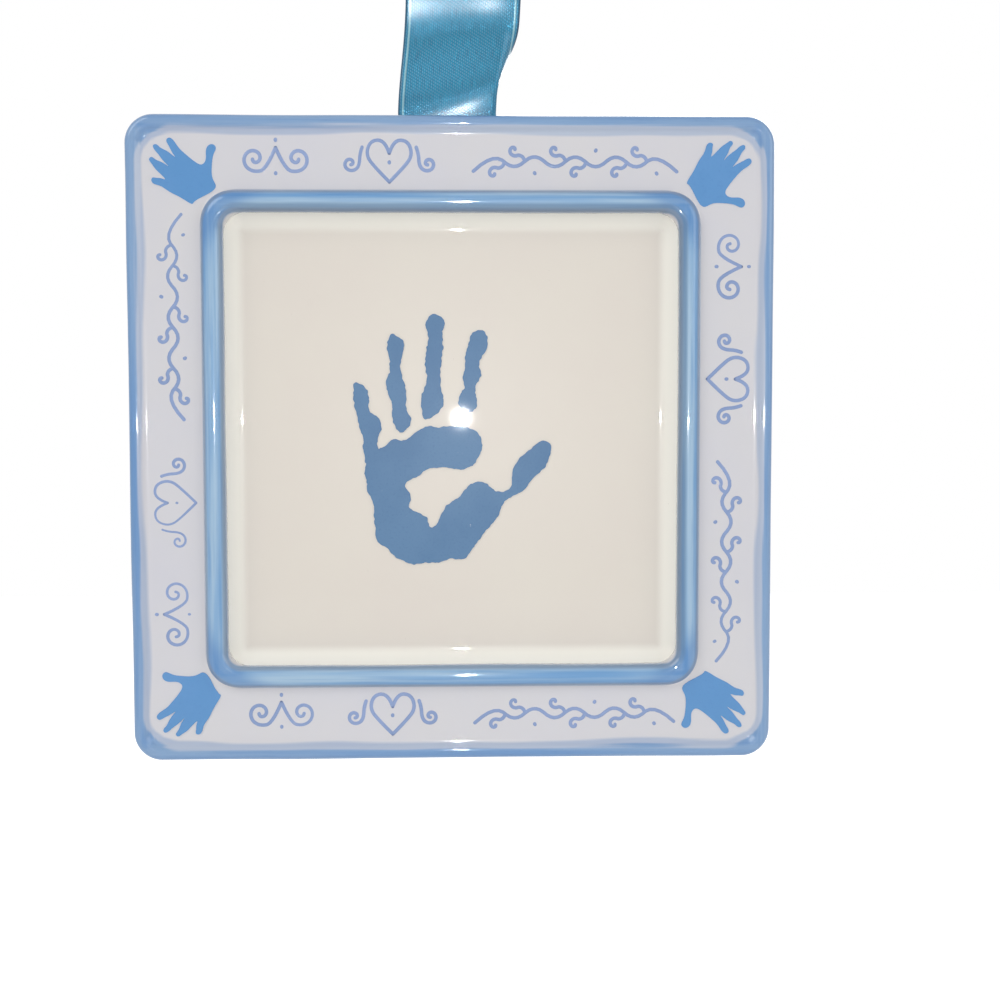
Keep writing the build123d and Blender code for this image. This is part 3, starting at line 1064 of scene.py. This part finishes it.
def settle(piece: bpy.types.Object, body: Body, slot: Slot, *nodes: str) -> bpy.types.Object:
    """Puts a piece on its body, in place of the nodes that it stands for.

    Args:
        piece: The piece.
        body: The body that it rides on.
        slot: Its material slot; not used.
        nodes: The nodes that it stands for, if any.

    Returns:
        The piece.
    """
    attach(piece, body.value)
    if nodes:
        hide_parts(*nodes)
    return piece


def dress_node(name: str, finish: Finish) -> None:
    """Gives a carried-over node its finish.

    Args:
        name: The node.
        finish: What it is finished in.
    """
    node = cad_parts[name]
    node.data.materials.clear()
    node.data.materials.append(finish.material())


# ---- ceramic -------------------------------------------------------------------------------------


@dataclass
class Surround:
    """The ceramic surround: lip, sloped cove, flat border, bead, pocket wall, foot and button bosses."""

    plaque: Plaque
    border_width: float = 20.5 * MM
    border_height: float = 12.2 * MM
    lip_height: float = 13.6 * MM
    lip_round: float = 1.9 * MM
    draft: float = 1.2 * MM
    bead_half: float = 65.56 * MM
    bead_radius: float = 2.94 * MM
    bead_height: float = 15.6 * MM
    bead_foot: float = 10.7 * MM
    pocket_half: float = 64.96 * MM
    pocket_wall: float = 4.5 * MM
    pocket_wall_height: float = 1.7 * MM
    base_wall: float = 7.0 * MM
    border_back: float = 6.2 * MM
    boss_radius: float = 5.5 * MM
    boss_seat: float = 1.62 * MM
    boss_reach: float = 72.71 * MM
    boss_spread: float = 35.0 * MM
    plug_radius: float = 2.52 * MM
    plug_length: float = 6.05 * MM
    notch_width: float = 30.0 * MM
    notch_depth: float = 2.8 * MM
    notch_middle: float = 0.6 * MM
    corner_radius: float = 8.0 * MM
    bead_outer_corner: float = 8.6 * MM
    bead_inner_corner: float = 5.6 * MM
    pocket_corner: float = 3.0 * MM
    wall_corner: float = 6.0 * MM
    groove_corner: float = 13.0 * MM
    crest_inset: float = 2.9 * MM
    crest_corner: float = 5.1 * MM
    cove_inset: float = 4.4 * MM
    cove_corner: float = 3.6 * MM
    flat_lines: tuple[tuple[float, float], ...] = ((7.5, 3.6), (10.5, 4.8), (14.0, 6.3), (17.5, 7.6))
    bead_round: float = 2.9 * MM
    foot_round: float = 0.5 * MM
    root_round: float = 0.9 * MM
    boss_round: float = 0.4 * MM
    overlap: float = 2 * MM
    uneven_wave: float = 31 * MM
    uneven_size: float = 0.16 * MM
    arc_steps: int = 14
    side_cuts: int = 36
    post_sides: int = 48
    post_segments: int = 4
    sharp: float = 38.0

    def rings(self) -> list[Ring]:
        """Lists the edges of the section, from the pocket over the back and the front to the opening.

        Returns:
            The rings, in that order.
        """
        half, height = self.plaque.half, self.border_height
        foot_half = half - self.draft
        outer, inner = half - self.border_width, self.bead_half - self.bead_radius
        wall = self.pocket_half + self.pocket_wall
        groove = half - self.base_wall
        lip_edge = half + self.draft * (self.lip_round / (self.lip_height - self.lip_round))
        flats = [Ring(half - inset * MM, height, corner * MM) for inset, corner in self.flat_lines]
        return [
            Ring(self.pocket_half, self.bead_foot, self.pocket_corner),
            Ring(self.pocket_half, self.pocket_wall_height, self.pocket_corner, 0.4 * MM, 3),
            Ring(wall, self.pocket_wall_height, self.wall_corner, self.foot_round, 3),
            Ring(wall, self.border_back, self.wall_corner, self.root_round, 4),
            Ring(groove, self.border_back, self.groove_corner, self.root_round, 4),
            Ring(groove, 0.0, self.groove_corner, self.foot_round, 3),
            Ring(foot_half, 0.0, self.corner_radius - self.draft, self.foot_round, 3),
            Ring(lip_edge, self.lip_height, self.corner_radius, self.lip_round, 8),
            Ring(half - self.crest_inset, self.lip_height, self.crest_corner, 0.8 * MM, 4),
            Ring(half - self.cove_inset, height, self.cove_corner, self.root_round, 4),
            *flats,
            Ring(outer, height, self.bead_outer_corner, 0.42 * MM, 3),
            Ring(outer, self.bead_height, self.bead_outer_corner, self.bead_round, 10),
            Ring(inner, self.bead_height, self.bead_inner_corner, self.bead_round, 10),
            Ring(inner, self.bead_foot, self.bead_inner_corner, 0.3 * MM, 3),
        ]

    def post(self, radius: float, low: float, high: float, place: tuple[float, float],
             edge: float = 0.0) -> bpy.types.Object:
        """Models a round post square to the back, as a tool for cut.

        Args:
            radius: The post's radius.
            low, high: Heights of its ends over the plaque's back.
            place: Its middle, across and up from the plaque's middle.
            edge: Rounding of its lower end.

        Returns:
            The tool's object.
        """
        mesh = bmesh.new()
        middle = Matrix.Translation((*place, (low + high) / 2))
        bmesh.ops.create_cone(mesh, cap_ends=True, segments=self.post_sides, radius1=radius, radius2=radius,
                              depth=high - low, matrix=middle)
        if edge:
            rim = [line for line in mesh.edges if all(vert.co.z < low + edge for vert in line.verts)]
            round_off(mesh, rim, edge, self.post_segments)
        return to_piece(mesh, "post", GROUND_FINISH, self.plaque.placing())

    def notch(self) -> bpy.types.Object:
        """Models the ribbon's notch in the top of the foot, as a tool for cut.

        Returns:
            The tool's object.
        """
        mesh = bmesh.new()
        size = Matrix.Diagonal((self.notch_width, 2 * self.base_wall, 2 * self.notch_depth, 1.0))
        place = Matrix.Translation((self.notch_middle, self.plaque.half, 0))
        bmesh.ops.create_cube(mesh, size=1.0, matrix=place @ size)
        roof = [line for line in mesh.edges if all(vert.co.z > 0 for vert in line.verts)]
        along_depth = [line for line in roof if abs(line.verts[0].co.x - line.verts[1].co.x) < MM]
        round_off(mesh, along_depth, self.root_round, self.post_segments)
        return to_piece(mesh, "notch", GROUND_FINISH, self.plaque.placing())

    def build(self) -> bpy.types.Object:
        """Models, glazes and hangs the surround.

        Returns:
            The surround's piece.
        """
        glaze = BorderGlaze(self.plaque.middle, self.plaque.half, self.bead_half, self.plaque.back)
        mesh = ring_stack(self.rings(), closed=True, arc_steps=self.arc_steps, side_cuts=self.side_cuts)
        stir(mesh, self.uneven_wave, self.uneven_size)
        piece = to_piece(mesh, "glazed_surround", glaze, self.plaque.placing())
        for side_x in (-1, 1):
            for side_z in (-1, 1):
                place = (side_x * self.boss_reach, side_z * self.boss_spread)
                boss_top, plug_foot = self.border_back + self.overlap, self.boss_seat - self.overlap
                boss = self.post(self.boss_radius, self.boss_seat, boss_top, place, self.boss_round)
                cut(piece, boss, Cut.ADD)
                plug = self.post(self.plug_radius, plug_foot, self.boss_seat + self.plug_length, place)
                cut(piece, plug, Cut.REMOVE)
        cut(piece, self.notch(), Cut.REMOVE)
        piece.data.shade_smooth()
        piece.data.set_sharp_from_angle(angle=radians(self.sharp))
        piece.data.materials.clear()
        piece.data.materials.append(glaze.material())
        return settle(piece, Body.PLAQUE, Slot.BORDER, "frame_surround")


@dataclass
class Tile:
    """The glazed tile, with its printed hand on a shallow field inside a sloped margin."""

    plaque: Plaque
    half: float = 64.56 * MM
    back: float = 5.4 * MM
    top: float = 10.6 * MM
    window_half: float = 62.62 * MM
    margin_width: float = 4.0 * MM
    margin_depth: float = 1.6 * MM
    edge_corner: float = 2.6 * MM
    edge_round: float = 0.4 * MM
    brow: float = 0.3 * MM
    brow_corner: float = 5.3 * MM
    brow_round: float = 0.2 * MM
    field_corner: float = 1.6 * MM
    field_round: float = 0.9 * MM
    inner_line: float = 3 * MM

    def build(self) -> bpy.types.Object:
        """Models, glazes and hangs the tile.

        Returns:
            The tile's piece.
        """
        field_half = self.window_half - self.margin_width
        field_height = self.top - self.margin_depth
        rings = [
            Ring(self.half, self.back, self.edge_corner, self.edge_round, 3),
            Ring(self.half, self.top, self.edge_corner, self.edge_round, 3),
            Ring(self.window_half + self.brow, self.top, self.brow_corner, self.brow_round, 2),
            Ring(field_half, field_height, self.field_corner, self.field_round, 5),
            Ring(field_half - self.inner_line, field_height, self.field_corner),
        ]
        mesh = ring_stack(rings, closed=False, arc_steps=10, side_cuts=24)
        glaze = TileGlaze(self.plaque.middle, field_half)
        piece = to_piece(mesh, "glazed_tile", glaze, self.plaque.placing())
        return settle(piece, Body.PLAQUE, Slot.TILE, "print_tile")


@dataclass
class Prints:
    """The printed hand, ragged as an inked palm leaves it, and the crisp hands in the corners."""

    thickness: float = 0.25 * MM
    point_spacing: float = 0.45 * MM
    rag: float = 0.34 * MM
    rag_wave: float = 1.1 * MM
    lobe: float = 0.5 * MM
    lobe_wave: float = 4.2 * MM
    rag_seed: int = 7
    nudge: tuple[float, float] = (-0.5 * MM, 0.8 * MM)
    front_within: float = 0.9
    halvings: int = 3
    flecks: float = 0.8

    def build(self) -> bpy.types.Object:
        """Roughens the printed hand's outline and dresses the corner hands.

        Returns:
            The printed hand's piece.
        """
        noise.seed_set(self.rag_seed)
        mesh = copied("handprint")
        mesh.normal_update()
        hidden = [face for face in mesh.faces if face.normal.y > -self.front_within]
        bmesh.ops.delete(mesh, geom=hidden, context="FACES")
        for _ in range(self.halvings):
            outline = [line for line in mesh.edges if line.is_boundary]
            coarse = [line for line in outline if line.calc_length() > self.point_spacing]
            bmesh.ops.subdivide_edges(mesh, edges=coarse, cuts=1)
        for vert in mesh.verts:
            fine = noise.noise_vector(vert.co / self.rag_wave)
            wide = noise.noise_vector(vert.co / self.lobe_wave)
            shift = fine * self.rag + wide * self.lobe
            vert.co += Vector((shift.x + self.nudge[0], 0, shift.z + self.nudge[1]))
        bmesh.ops.triangulate(mesh, faces=mesh.faces)
        drawn = bmesh.ops.extrude_face_region(mesh, geom=mesh.faces[:], use_keep_orig=True)["geom"]
        bmesh.ops.translate(mesh, vec=(0, self.thickness, 0), verts=only(bmesh.types.BMVert, drawn))
        piece = to_piece(mesh, "ragged_handprint", PrintPaint(flecks=self.flecks), Matrix.Identity(4))
        motif = PrintPaint("motif enamel", screen(84, 146, 204), screen(92, 150, 208), screen(80, 136, 198))
        for corner in Corner:
            dress_node(f"corner_hand_{corner.word}", motif)
        return settle(piece, Body.PLAQUE, Slot.PRINT, "handprint")


Stroke = list[tuple[float, float]]


@dataclass
class BorderOrnament:
    """Brushed scrollwork on the border: a pair of scrolls, a heart and a waved vine on each side."""

    plaque: Plaque
    height: float = 12.2 * MM
    band_middle: float = 76.5 * MM
    stroke: float = 0.5 * MM
    relief: float = 0.12 * MM
    start: float = -58.0
    gap: float = 7.0

    def scroll(self, middle: tuple[float, float], size: float, turn: float, hand: int, tail: Stroke,
               turns: float = 1.2) -> Stroke:
        """Draws a scroll that winds outwards from its middle and runs on in a tail.

        Args:
            middle: The scroll's middle.
            size: Its last radius.
            turn: Angle at which it leaves its last turn.
            hand: 1 where it winds to the left and -1 to the right.
            tail: The points after it.
            turns: How many times it winds round.

        Returns:
            The stroke's points.
        """
        wound = []
        for step in range(11):
            share = step / 10
            angle = turn - hand * (1 - share) * tau * turns
            reach = size * (0.14 + 0.86 * share)
            wound.append((middle[0] + reach * cos(angle), middle[1] + reach * sin(angle)))
        return wound + tail

    def scroll_pair(self) -> list[Stroke]:
        """Draws two scrolls that meet in a point, with a dot over and under them: 20 mm wide.

        Returns:
            The strokes.
        """
        left = self.scroll((4.2, 0.6), 3.6, -pi / 2, 1, [(7.4, -2.4), (10.0, 3.6)])
        return [left, [(20.0 - across, up) for across, up in left], [(10.0, -3.4), (10.0, -3.2)],
                [(10.0, 5.6), (10.0, 5.8)]]

    def heart(self) -> list[Stroke]:
        """Draws a heart between two curls, with a dot in it: 28 mm wide.

        Returns:
            The strokes.
        """
        half = [(14.0, -5.6), (10.2, -1.8), (7.6, 1.6), (8.8, 5.6), (12.8, 5.8), (14.0, 2.2)]
        curl = self.scroll((3.4, -0.6), 2.5, 0.0, 1, [(6.0, 2.2), (6.6, 3.8)])
        return [half, [(28.0 - across, up) for across, up in half], curl,
                [(28.0 - across, up) for across, up in curl], [(14.0, -0.4), (14.0, -0.2)]]

    def vine(self) -> list[Stroke]:
        """Draws a waved vine with a curl or a dot in every hollow: 60 mm wide.

        Returns:
            The strokes.
        """
        strokes = [[(2.0 + 5.6 * step, 2.6 if step % 2 else -2.6) for step in range(11)]]
        for step in range(1, 10):
            side = -1 if step % 2 else 1
            across = 2.0 + 5.6 * step
            if step % 3:
                strokes.append(self.scroll((across, side * 3.2), 1.9, -side * pi / 4, side,
                                           [(across + 2.6, side * 1.2), (across + 2.9, side * 0.2)], 0.8))
            else:
                strokes.append([(across, side * 3.0), (across + 0.1, side * 3.2)])
        return strokes

    def strokes(self) -> list[Stroke]:
        """Sets out every stroke of one side.

        Returns:
            The strokes, in millimetres along the side and up from its middle line.
        """
        placed, start = [], self.start
        for group, width in ((self.scroll_pair(), 20.0), (self.heart(), 28.0), (self.vine(), 60.0)):
            placed += [[(start + across, up) for across, up in stroke] for stroke in group]
            start += width + self.gap
        return placed

    def brushed(self) -> bpy.types.Mesh:
        """Brushes one side's strokes, round in section.

        Returns:
            The strokes' mesh.
        """
        data = bpy.data.curves.new("scrollwork", "CURVE")
        data.dimensions = "3D"
        data.bevel_depth = self.stroke
        data.bevel_resolution = 2
        data.use_fill_caps = True
        for stroke in self.strokes():
            spline = data.splines.new("NURBS")
            spline.points.add(len(stroke) - 1)
            for point, (across, up) in zip(spline.points, stroke):
                point.co = (across * MM, up * MM, 0.0, 1.0)
            spline.order_u = min(3, len(stroke))
            spline.use_endpoint_u = True
            spline.resolution_u = 5
        curve = bpy.data.objects.new("scrollwork", data)
        mesh = bpy.data.meshes.new_from_object(curve)
        bpy.data.objects.remove(curve)
        return mesh

    def build(self) -> bpy.types.Object:
        """Brushes the scrollwork round the border.

        Returns:
            The scrollwork's piece.
        """
        mesh = bmesh.new()
        mesh.from_mesh(self.brushed())
        for stroke in self.strokes():
            for across, up in (stroke[0], stroke[-1]):
                bmesh.ops.create_icosphere(mesh, subdivisions=2, radius=self.stroke,
                                           matrix=Matrix.Translation(Vector((across, up, 0)) * MM))
        flattened = Matrix.Diagonal((1, 1, self.relief / self.stroke, 1))
        top = Matrix.Translation((0, self.band_middle, self.height)) @ flattened
        bottom = Matrix.Translation((0, -2 * self.band_middle, 0)) @ top
        sides = [Matrix.Rotation(turn, 4, "Z") @ top for turn in (-pi / 2, pi / 2)]
        first = mesh.verts[:] + mesh.edges[:] + mesh.faces[:]
        for place in (bottom, *sides):
            drawn = bmesh.ops.duplicate(mesh, geom=first)["geom"]
            bmesh.ops.transform(mesh, matrix=place, verts=only(bmesh.types.BMVert, drawn))
        bmesh.ops.transform(mesh, matrix=top, verts=only(bmesh.types.BMVert, first))
        enamel = PrintPaint("scrollwork enamel", screen(134, 156, 200), screen(144, 164, 208),
                            screen(124, 146, 192))
        piece = to_piece(mesh, "border_scrollwork", enamel, self.plaque.placing())
        return settle(piece, Body.PLAQUE, Slot.MOTIF)


# ---- ribbon --------------------------------------------------------------------------------------


@dataclass
class Ribbon:
    """One satin ribbon: up from the board, through the notch, over the nail and back down.

    The two strands lie one on the other at the frame, where their right edge is folded to the back to fit the
    notch. It opens on the way up, while the strands lean and wave. Then they turn a quarter, draw together
    and open round the nail.
    """

    plaque: Plaque
    width: float = 32.0 * MM
    cloth: float = 0.24 * MM
    layer: float = 0.3 * MM
    fold_y: float = -2.8 * MM
    fold_z: float = -106.0 * MM
    tail: float = 38.0 * MM
    offset: float = 1.8 * MM
    drift: float = 0.85 * MM
    drift_rise: float = 3.2 * MM
    lean: float = 2.5 * MM
    lean_rise: float = 38.0 * MM
    forward_mean: float = 0.08
    forward_swing: float = 0.19
    low_crest: float = -5.8 * MM
    crest_slant: float = 0.44
    high_crest: float = 33.4 * MM
    high_turn: float = 0.093
    loop_radius: float = 4.75 * MM
    nail_y: float = -11.45 * MM
    gathered: float = 18.0 * MM
    pleat_depth: float = 0.8 * MM
    pleats: float = 2.5
    folded_edge: float = 5.0 * MM
    fold_opening: tuple[float, float] = (9.0 * MM, 30.5 * MM)
    open_radius: float = 4.6 * MM
    twist_shares: tuple[float, float] = (0.38, 0.9)
    gather_shares: tuple[float, float] = (0.34, 0.78)
    opening_shares: tuple[float, float] = (0.45, 1.0)
    columns: int = 44
    strand_rows: int = 84
    tail_rows: int = 12
    turn_rows: int = 18
    blend_reach: float = 1.5 * MM
    sharp: float = 70.0

    def section(self, across: float, curl: float, out: float) -> tuple[float, float]:
        """Finds a point's place on the strands' section, whose right edge turns to the back.

        Args:
            across: Distance on the cloth from its left edge.
            curl: Angle that the right edge has turned through.
            out: How far behind the middle of the two strands the point's own strand lies.

        Returns:
            Distance to the right of the left edge, and to the back.
        """
        radius = self.layer + self.open_radius * (1 - curl / pi)
        past = max(across - (self.width - self.folded_edge), 0.0)
        angle = min(past / radius, curl)
        straight = max(past - radius * curl, 0.0)
        right = min(across, self.width - self.folded_edge) + radius * sin(angle) + straight * cos(angle)
        back = radius * (1 - cos(angle)) + straight * sin(angle)
        return right - out * sin(angle), back + out * cos(angle)

    def forward(self, across: float, rise: float) -> float:
        """Finds how far a point of the strands has come forward.

        The cloth is steepest at two crests that slant across it, and these catch the light.

        Args:
            across: Distance on the cloth from its left edge.
            rise: Height over the fold.

        Returns:
            The distance forward from the fold's plane.
        """
        low = self.low_crest + self.crest_slant * across
        length = self.high_crest - low
        waved = sin(tau * (rise - low) / length) - sin(tau * -low / length)
        turned = self.high_turn * across * (1 - across / (2 * self.width)) * ease(rise / self.high_crest)
        return self.forward_mean * rise + self.forward_swing * length / tau * waved - turned

    def strand_point(self, side: int, share: float, across: float) -> Vector:
        """Finds a point of a strand.

        Args:
            side: -1 for the front strand and 1 for the rear one.
            share: Way up from the fold, 0, to the nail, 1.
            across: Distance on the cloth from its left edge.

        Returns:
            The point.
        """
        rise = -share * self.fold_z
        twist = ease_between(share, self.twist_shares)
        gather = ease_between(share, self.gather_shares)
        turn = pi / 2 * twist
        curl = pi * (1 - ease_between(rise, self.fold_opening))
        shut = self.layer / 2
        opening = shut + (self.loop_radius - shut) * ease_between(share, self.opening_shares)
        pleat = self.pleat_depth * gather * sin(tau * self.pleats * (across / self.width - 0.5))
        right, back = self.section(across, curl, side * opening + pleat)
        local = right * (1 + (self.gathered / self.width - 1) * gather) - self.width / 2
        local += (self.width - self.gathered) / 2 * gather
        aside = self.lean * ease(rise / self.lean_rise) - self.drift * ease(rise / self.drift_rise)
        sway = (self.offset + aside) * (1 - twist)
        ahead = self.forward(across, rise) * (1 - twist)
        middle_y = self.fold_y + (self.nail_y - self.fold_y) * twist - ahead
        return Vector((
            sway + local * cos(turn) + back * sin(turn),
            middle_y - local * sin(turn) + back * cos(turn),
            self.fold_z + rise,
        ))

    def arch_point(self, angle: float, across: float) -> Vector:
        """Finds a point of the turn over the nail.

        Args:
            angle: Angle from the front strand's side.
            across: Distance on the cloth from its left edge.

        Returns:
            The point.
        """
        pleat = self.pleat_depth * sin(tau * self.pleats * (across / self.width - 0.5))
        radius = self.loop_radius - pleat * cos(angle)
        depth = self.nail_y - self.gathered * (across / self.width - 0.5)
        return Vector((-radius * cos(angle), depth, radius * sin(angle)))

    def tail_point(self, side: int, share: float, across: float) -> Vector:
        """Finds a point of an end on the board.

        Args:
            side: -1 for the front end and 1 for the rear one.
            share: Way down from the fold, 0, to the cut end, 1.
            across: Distance on the cloth from its left edge.

        Returns:
            The point.
        """
        right, back = self.section(across, pi, side * self.layer / 2)
        aside = self.offset + right - self.width / 2
        return Vector((aside, self.fold_y + back, self.fold_z - share * self.tail))

    def rows(self) -> list[Callable[[float], Vector]]:
        """Lists every row of the cloth, from the front end over the nail to the rear end.

        Returns:
            For each row, what gives the point at a distance from the left edge.
        """
        tails = [step / self.tail_rows for step in range(self.tail_rows, 0, -1)]
        strands = [step / self.strand_rows for step in range(self.strand_rows + 1)]
        angles = [pi * step / self.turn_rows for step in range(1, self.turn_rows)]
        return [
            *(partial(self.tail_point, -1, share) for share in tails),
            *(partial(self.strand_point, -1, share) for share in strands),
            *(partial(self.arch_point, angle) for angle in angles),
            *(partial(self.strand_point, 1, share) for share in reversed(strands)),
            *(partial(self.tail_point, 1, share) for share in reversed(tails)),
        ]

    def build(self) -> bpy.types.Object:
        """Weaves the ribbon and hangs it.

        Returns:
            The ribbon's piece.
        """
        rows = self.rows()
        lengths = [0.0]
        for row, after in zip(rows, rows[1:]):
            lengths.append(lengths[-1] + (after(self.width / 3) - row(self.width / 3)).length)
        mesh = bmesh.new()
        bmesh.ops.create_grid(mesh, x_segments=self.columns, y_segments=len(rows) - 1, size=0.5)
        cloth = mesh.verts.layers.float_vector.new("cloth")
        for vert in mesh.verts:
            across, line = (vert.co.x + 0.5) * self.width, round((vert.co.y + 0.5) * (len(rows) - 1))
            vert[cloth] = Vector((across - self.width / 2, lengths[line], 0)) / MM
            vert.co = rows[line](across)
        piece = to_piece(mesh, "satin_ribbon", Satin(self.width / MM), Matrix.Identity(4), self.sharp)
        thickness = piece.modifiers.new("cloth", "SOLIDIFY")
        thickness.thickness = self.cloth
        thickness.offset = 0.0
        bake(piece)
        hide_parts("ribbon_loop", "ribbon_tail_front", "ribbon_tail_rear")
        self.fold_z + self.blend_reach
        self.fold_z - self.blend_reach
        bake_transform(piece)
        log.info("ribbon is %.0f mm long", lengths[-1] / MM)
        return piece


@dataclass
class BackHardware:
    """What the back of the plaque shows: hardboard, turn buttons, screws, plugs, felt and staples."""

    felt: Fibrous = Fibrous("felt", screen(222, 224, 226), screen(196, 200, 206), 1.0, 0.12 * MM)
    pad_felt: Fibrous = Fibrous("pad felt", screen(120, 118, 116), screen(88, 86, 86), 1.0, 0.12 * MM)
    board: Fibrous = Fibrous("hardboard", screen(140, 98, 64), screen(88, 58, 38), 0.5, 0.06 * MM, 0.6)
    brass: Metal = Metal("button brass", screen(204, 182, 128), screen(176, 150, 98), 0.24)
    steel: Metal = Metal("screw steel", screen(196, 198, 200), screen(142, 146, 150), 0.24)
    wire: Metal = Metal("staple wire", screen(206, 206, 204), screen(160, 160, 158), 0.3)
    plug: Plastic = Plastic("plug plastic", screen(226, 226, 220), screen(208, 208, 204))
    felt_edge: float = 0.3 * MM
    board_edge: float = 0.25 * MM
    wire_edge: float = 0.15 * MM
    brass_edge: float = 0.2 * MM
    screw_edge: float = 0.12 * MM
    plug_edge: float = 0.15 * MM

    def build(self) -> list[bpy.types.Object]:
        """Finishes the pieces of the back, with the edges that stamping, sawing and moulding leave.

        Returns:
            The pieces.
        """
        pieces = [
            softened("tile_cushion", self.felt, self.felt_edge),
            softened("backing_board", self.board, self.board_edge),
            softened("ribbon_staples", self.wire, self.wire_edge),
        ]
        for corner in Corner:
            button = f"turn_button_{corner.word}"
            pieces.append(softened(button, self.brass, self.brass_edge, body=button))
            pieces.append(softened(f"wall_pad_{corner.word}", self.pad_felt, self.felt_edge))
        pieces.append(softened("button_screws", self.steel, self.screw_edge))
        pieces.append(softened("screw_plugs", self.plug, self.plug_edge))
        return pieces


# ---- studio --------------------------------------------------------------------------------------


@dataclass(frozen=True)
class Lamp:
    """A round lamp that points at the plaque: its place, diameter and power in watts."""

    name: str
    place: tuple[float, float, float]
    size: float
    power: float


@dataclass
class Studio:
    """Camera, lamps, pale floor and white surroundings."""

    lamps: tuple[Lamp, ...] = (
        Lamp("front lamp", (0.002, -0.41, -0.1876), 0.008, 0.38),
        Lamp("soft left", (-1.1, -1.2, 0.9), 1.1, 8.6),
        Lamp("soft right", (1.2, -1.0, 0.3), 1.0, 3.6),
        Lamp("soft rear", (0.5, 1.5, 0.6), 1.2, 12.0),
    )
    lamps_target: tuple[float, float, float] = (0.0, -0.012, -0.17)
    camera_place: Vector = field(default_factory=lambda: Vector((2.9, -403.2, -187.6)) * MM)
    pitch: float = radians(-3.36)
    yaw: float = radians(1.51)
    roll: float = radians(-0.10)
    focal_pixels: float = 1403.0
    image_pixels: float = 1000.0
    sensor: float = 36.0
    nearest: float = 0.01
    floor_z: float = -0.62
    floor_size: float = 3.0
    surroundings: float = 0.42

    def aim(self) -> None:
        """Sets the camera where the photograph was taken from."""
        level = cos(self.pitch)
        forward = Vector((sin(self.yaw) * level, cos(self.yaw) * level, sin(self.pitch)))
        turned = forward.to_track_quat("-Z", "Y").to_matrix().to_4x4() @ Matrix.Rotation(self.roll, 4, "Z")
        camera = bpy.data.objects.new("camera", bpy.data.cameras.new("camera"))
        camera.data.sensor_width = self.sensor
        camera.data.lens = self.focal_pixels * self.sensor / self.image_pixels
        camera.data.clip_start = self.nearest
        camera.matrix_world = Matrix.Translation(self.camera_place) @ turned
        bpy.context.scene.collection.objects.link(camera)
        bpy.context.scene.camera = camera

    def hang(self, lamp: Lamp) -> None:
        """Adds a lamp to the scene.

        Args:
            lamp: The lamp.
        """
        data = bpy.data.lights.new(lamp.name, "AREA")
        data.shape = "DISK"
        data.size = lamp.size
        data.energy = lamp.power
        made = bpy.data.objects.new(lamp.name, data)
        away = Vector(lamp.place) - Vector(self.lamps_target)
        turned = away.to_track_quat("Z", "Y").to_matrix().to_4x4()
        made.matrix_world = Matrix.Translation(lamp.place) @ turned
        made.visible_camera = False
        bpy.context.scene.collection.objects.link(made)

    def light(self) -> None:
        """Lights the plaque from beside the camera, from large soft lamps and from all round."""
        for lamp in self.lamps:
            self.hang(lamp)
        world = bpy.data.worlds.new("studio")
        world.use_nodes = True
        graph = Graph(world.node_tree)
        backdrop = world.node_tree.nodes["Background"]
        backdrop.inputs["Color"].default_value = WHITE
        direct = graph.direct()
        graph.feed(backdrop.inputs["Strength"], direct + (1.0 - direct) * self.surroundings)
        bpy.context.scene.world = world

    def lay_floor(self) -> None:
        """Lays a pale floor under the hanging plaque."""
        mesh = bmesh.new()
        place = Matrix.Translation((0, 0, self.floor_z))
        bmesh.ops.create_grid(mesh, x_segments=1, y_segments=1, size=self.floor_size, matrix=place)
        to_piece(mesh, "floor", GROUND_FINISH, Matrix.Identity(4))

    def build(self) -> None:
        """Sets up the whole studio."""
        self.aim()
        self.light()
        self.lay_floor()
        bpy.context.scene.view_settings.view_transform = "Standard"


def main() -> None:
    """Builds the scene piece by piece."""
    logging.basicConfig(level=logging.INFO, format="%(name)s: %(message)s")
    plaque = Plaque.measured()
    Studio().build()
    log.info("studio is set up")
    parts = (Ribbon(plaque), Surround(plaque), Tile(plaque), Prints(), BorderOrnament(plaque))
    for piece in [*(part.build() for part in parts), *BackHardware().build()]:
        log.info("%s has %d faces", piece.name, len(piece.data.polygons))


if __name__ == "__main__":
    main()
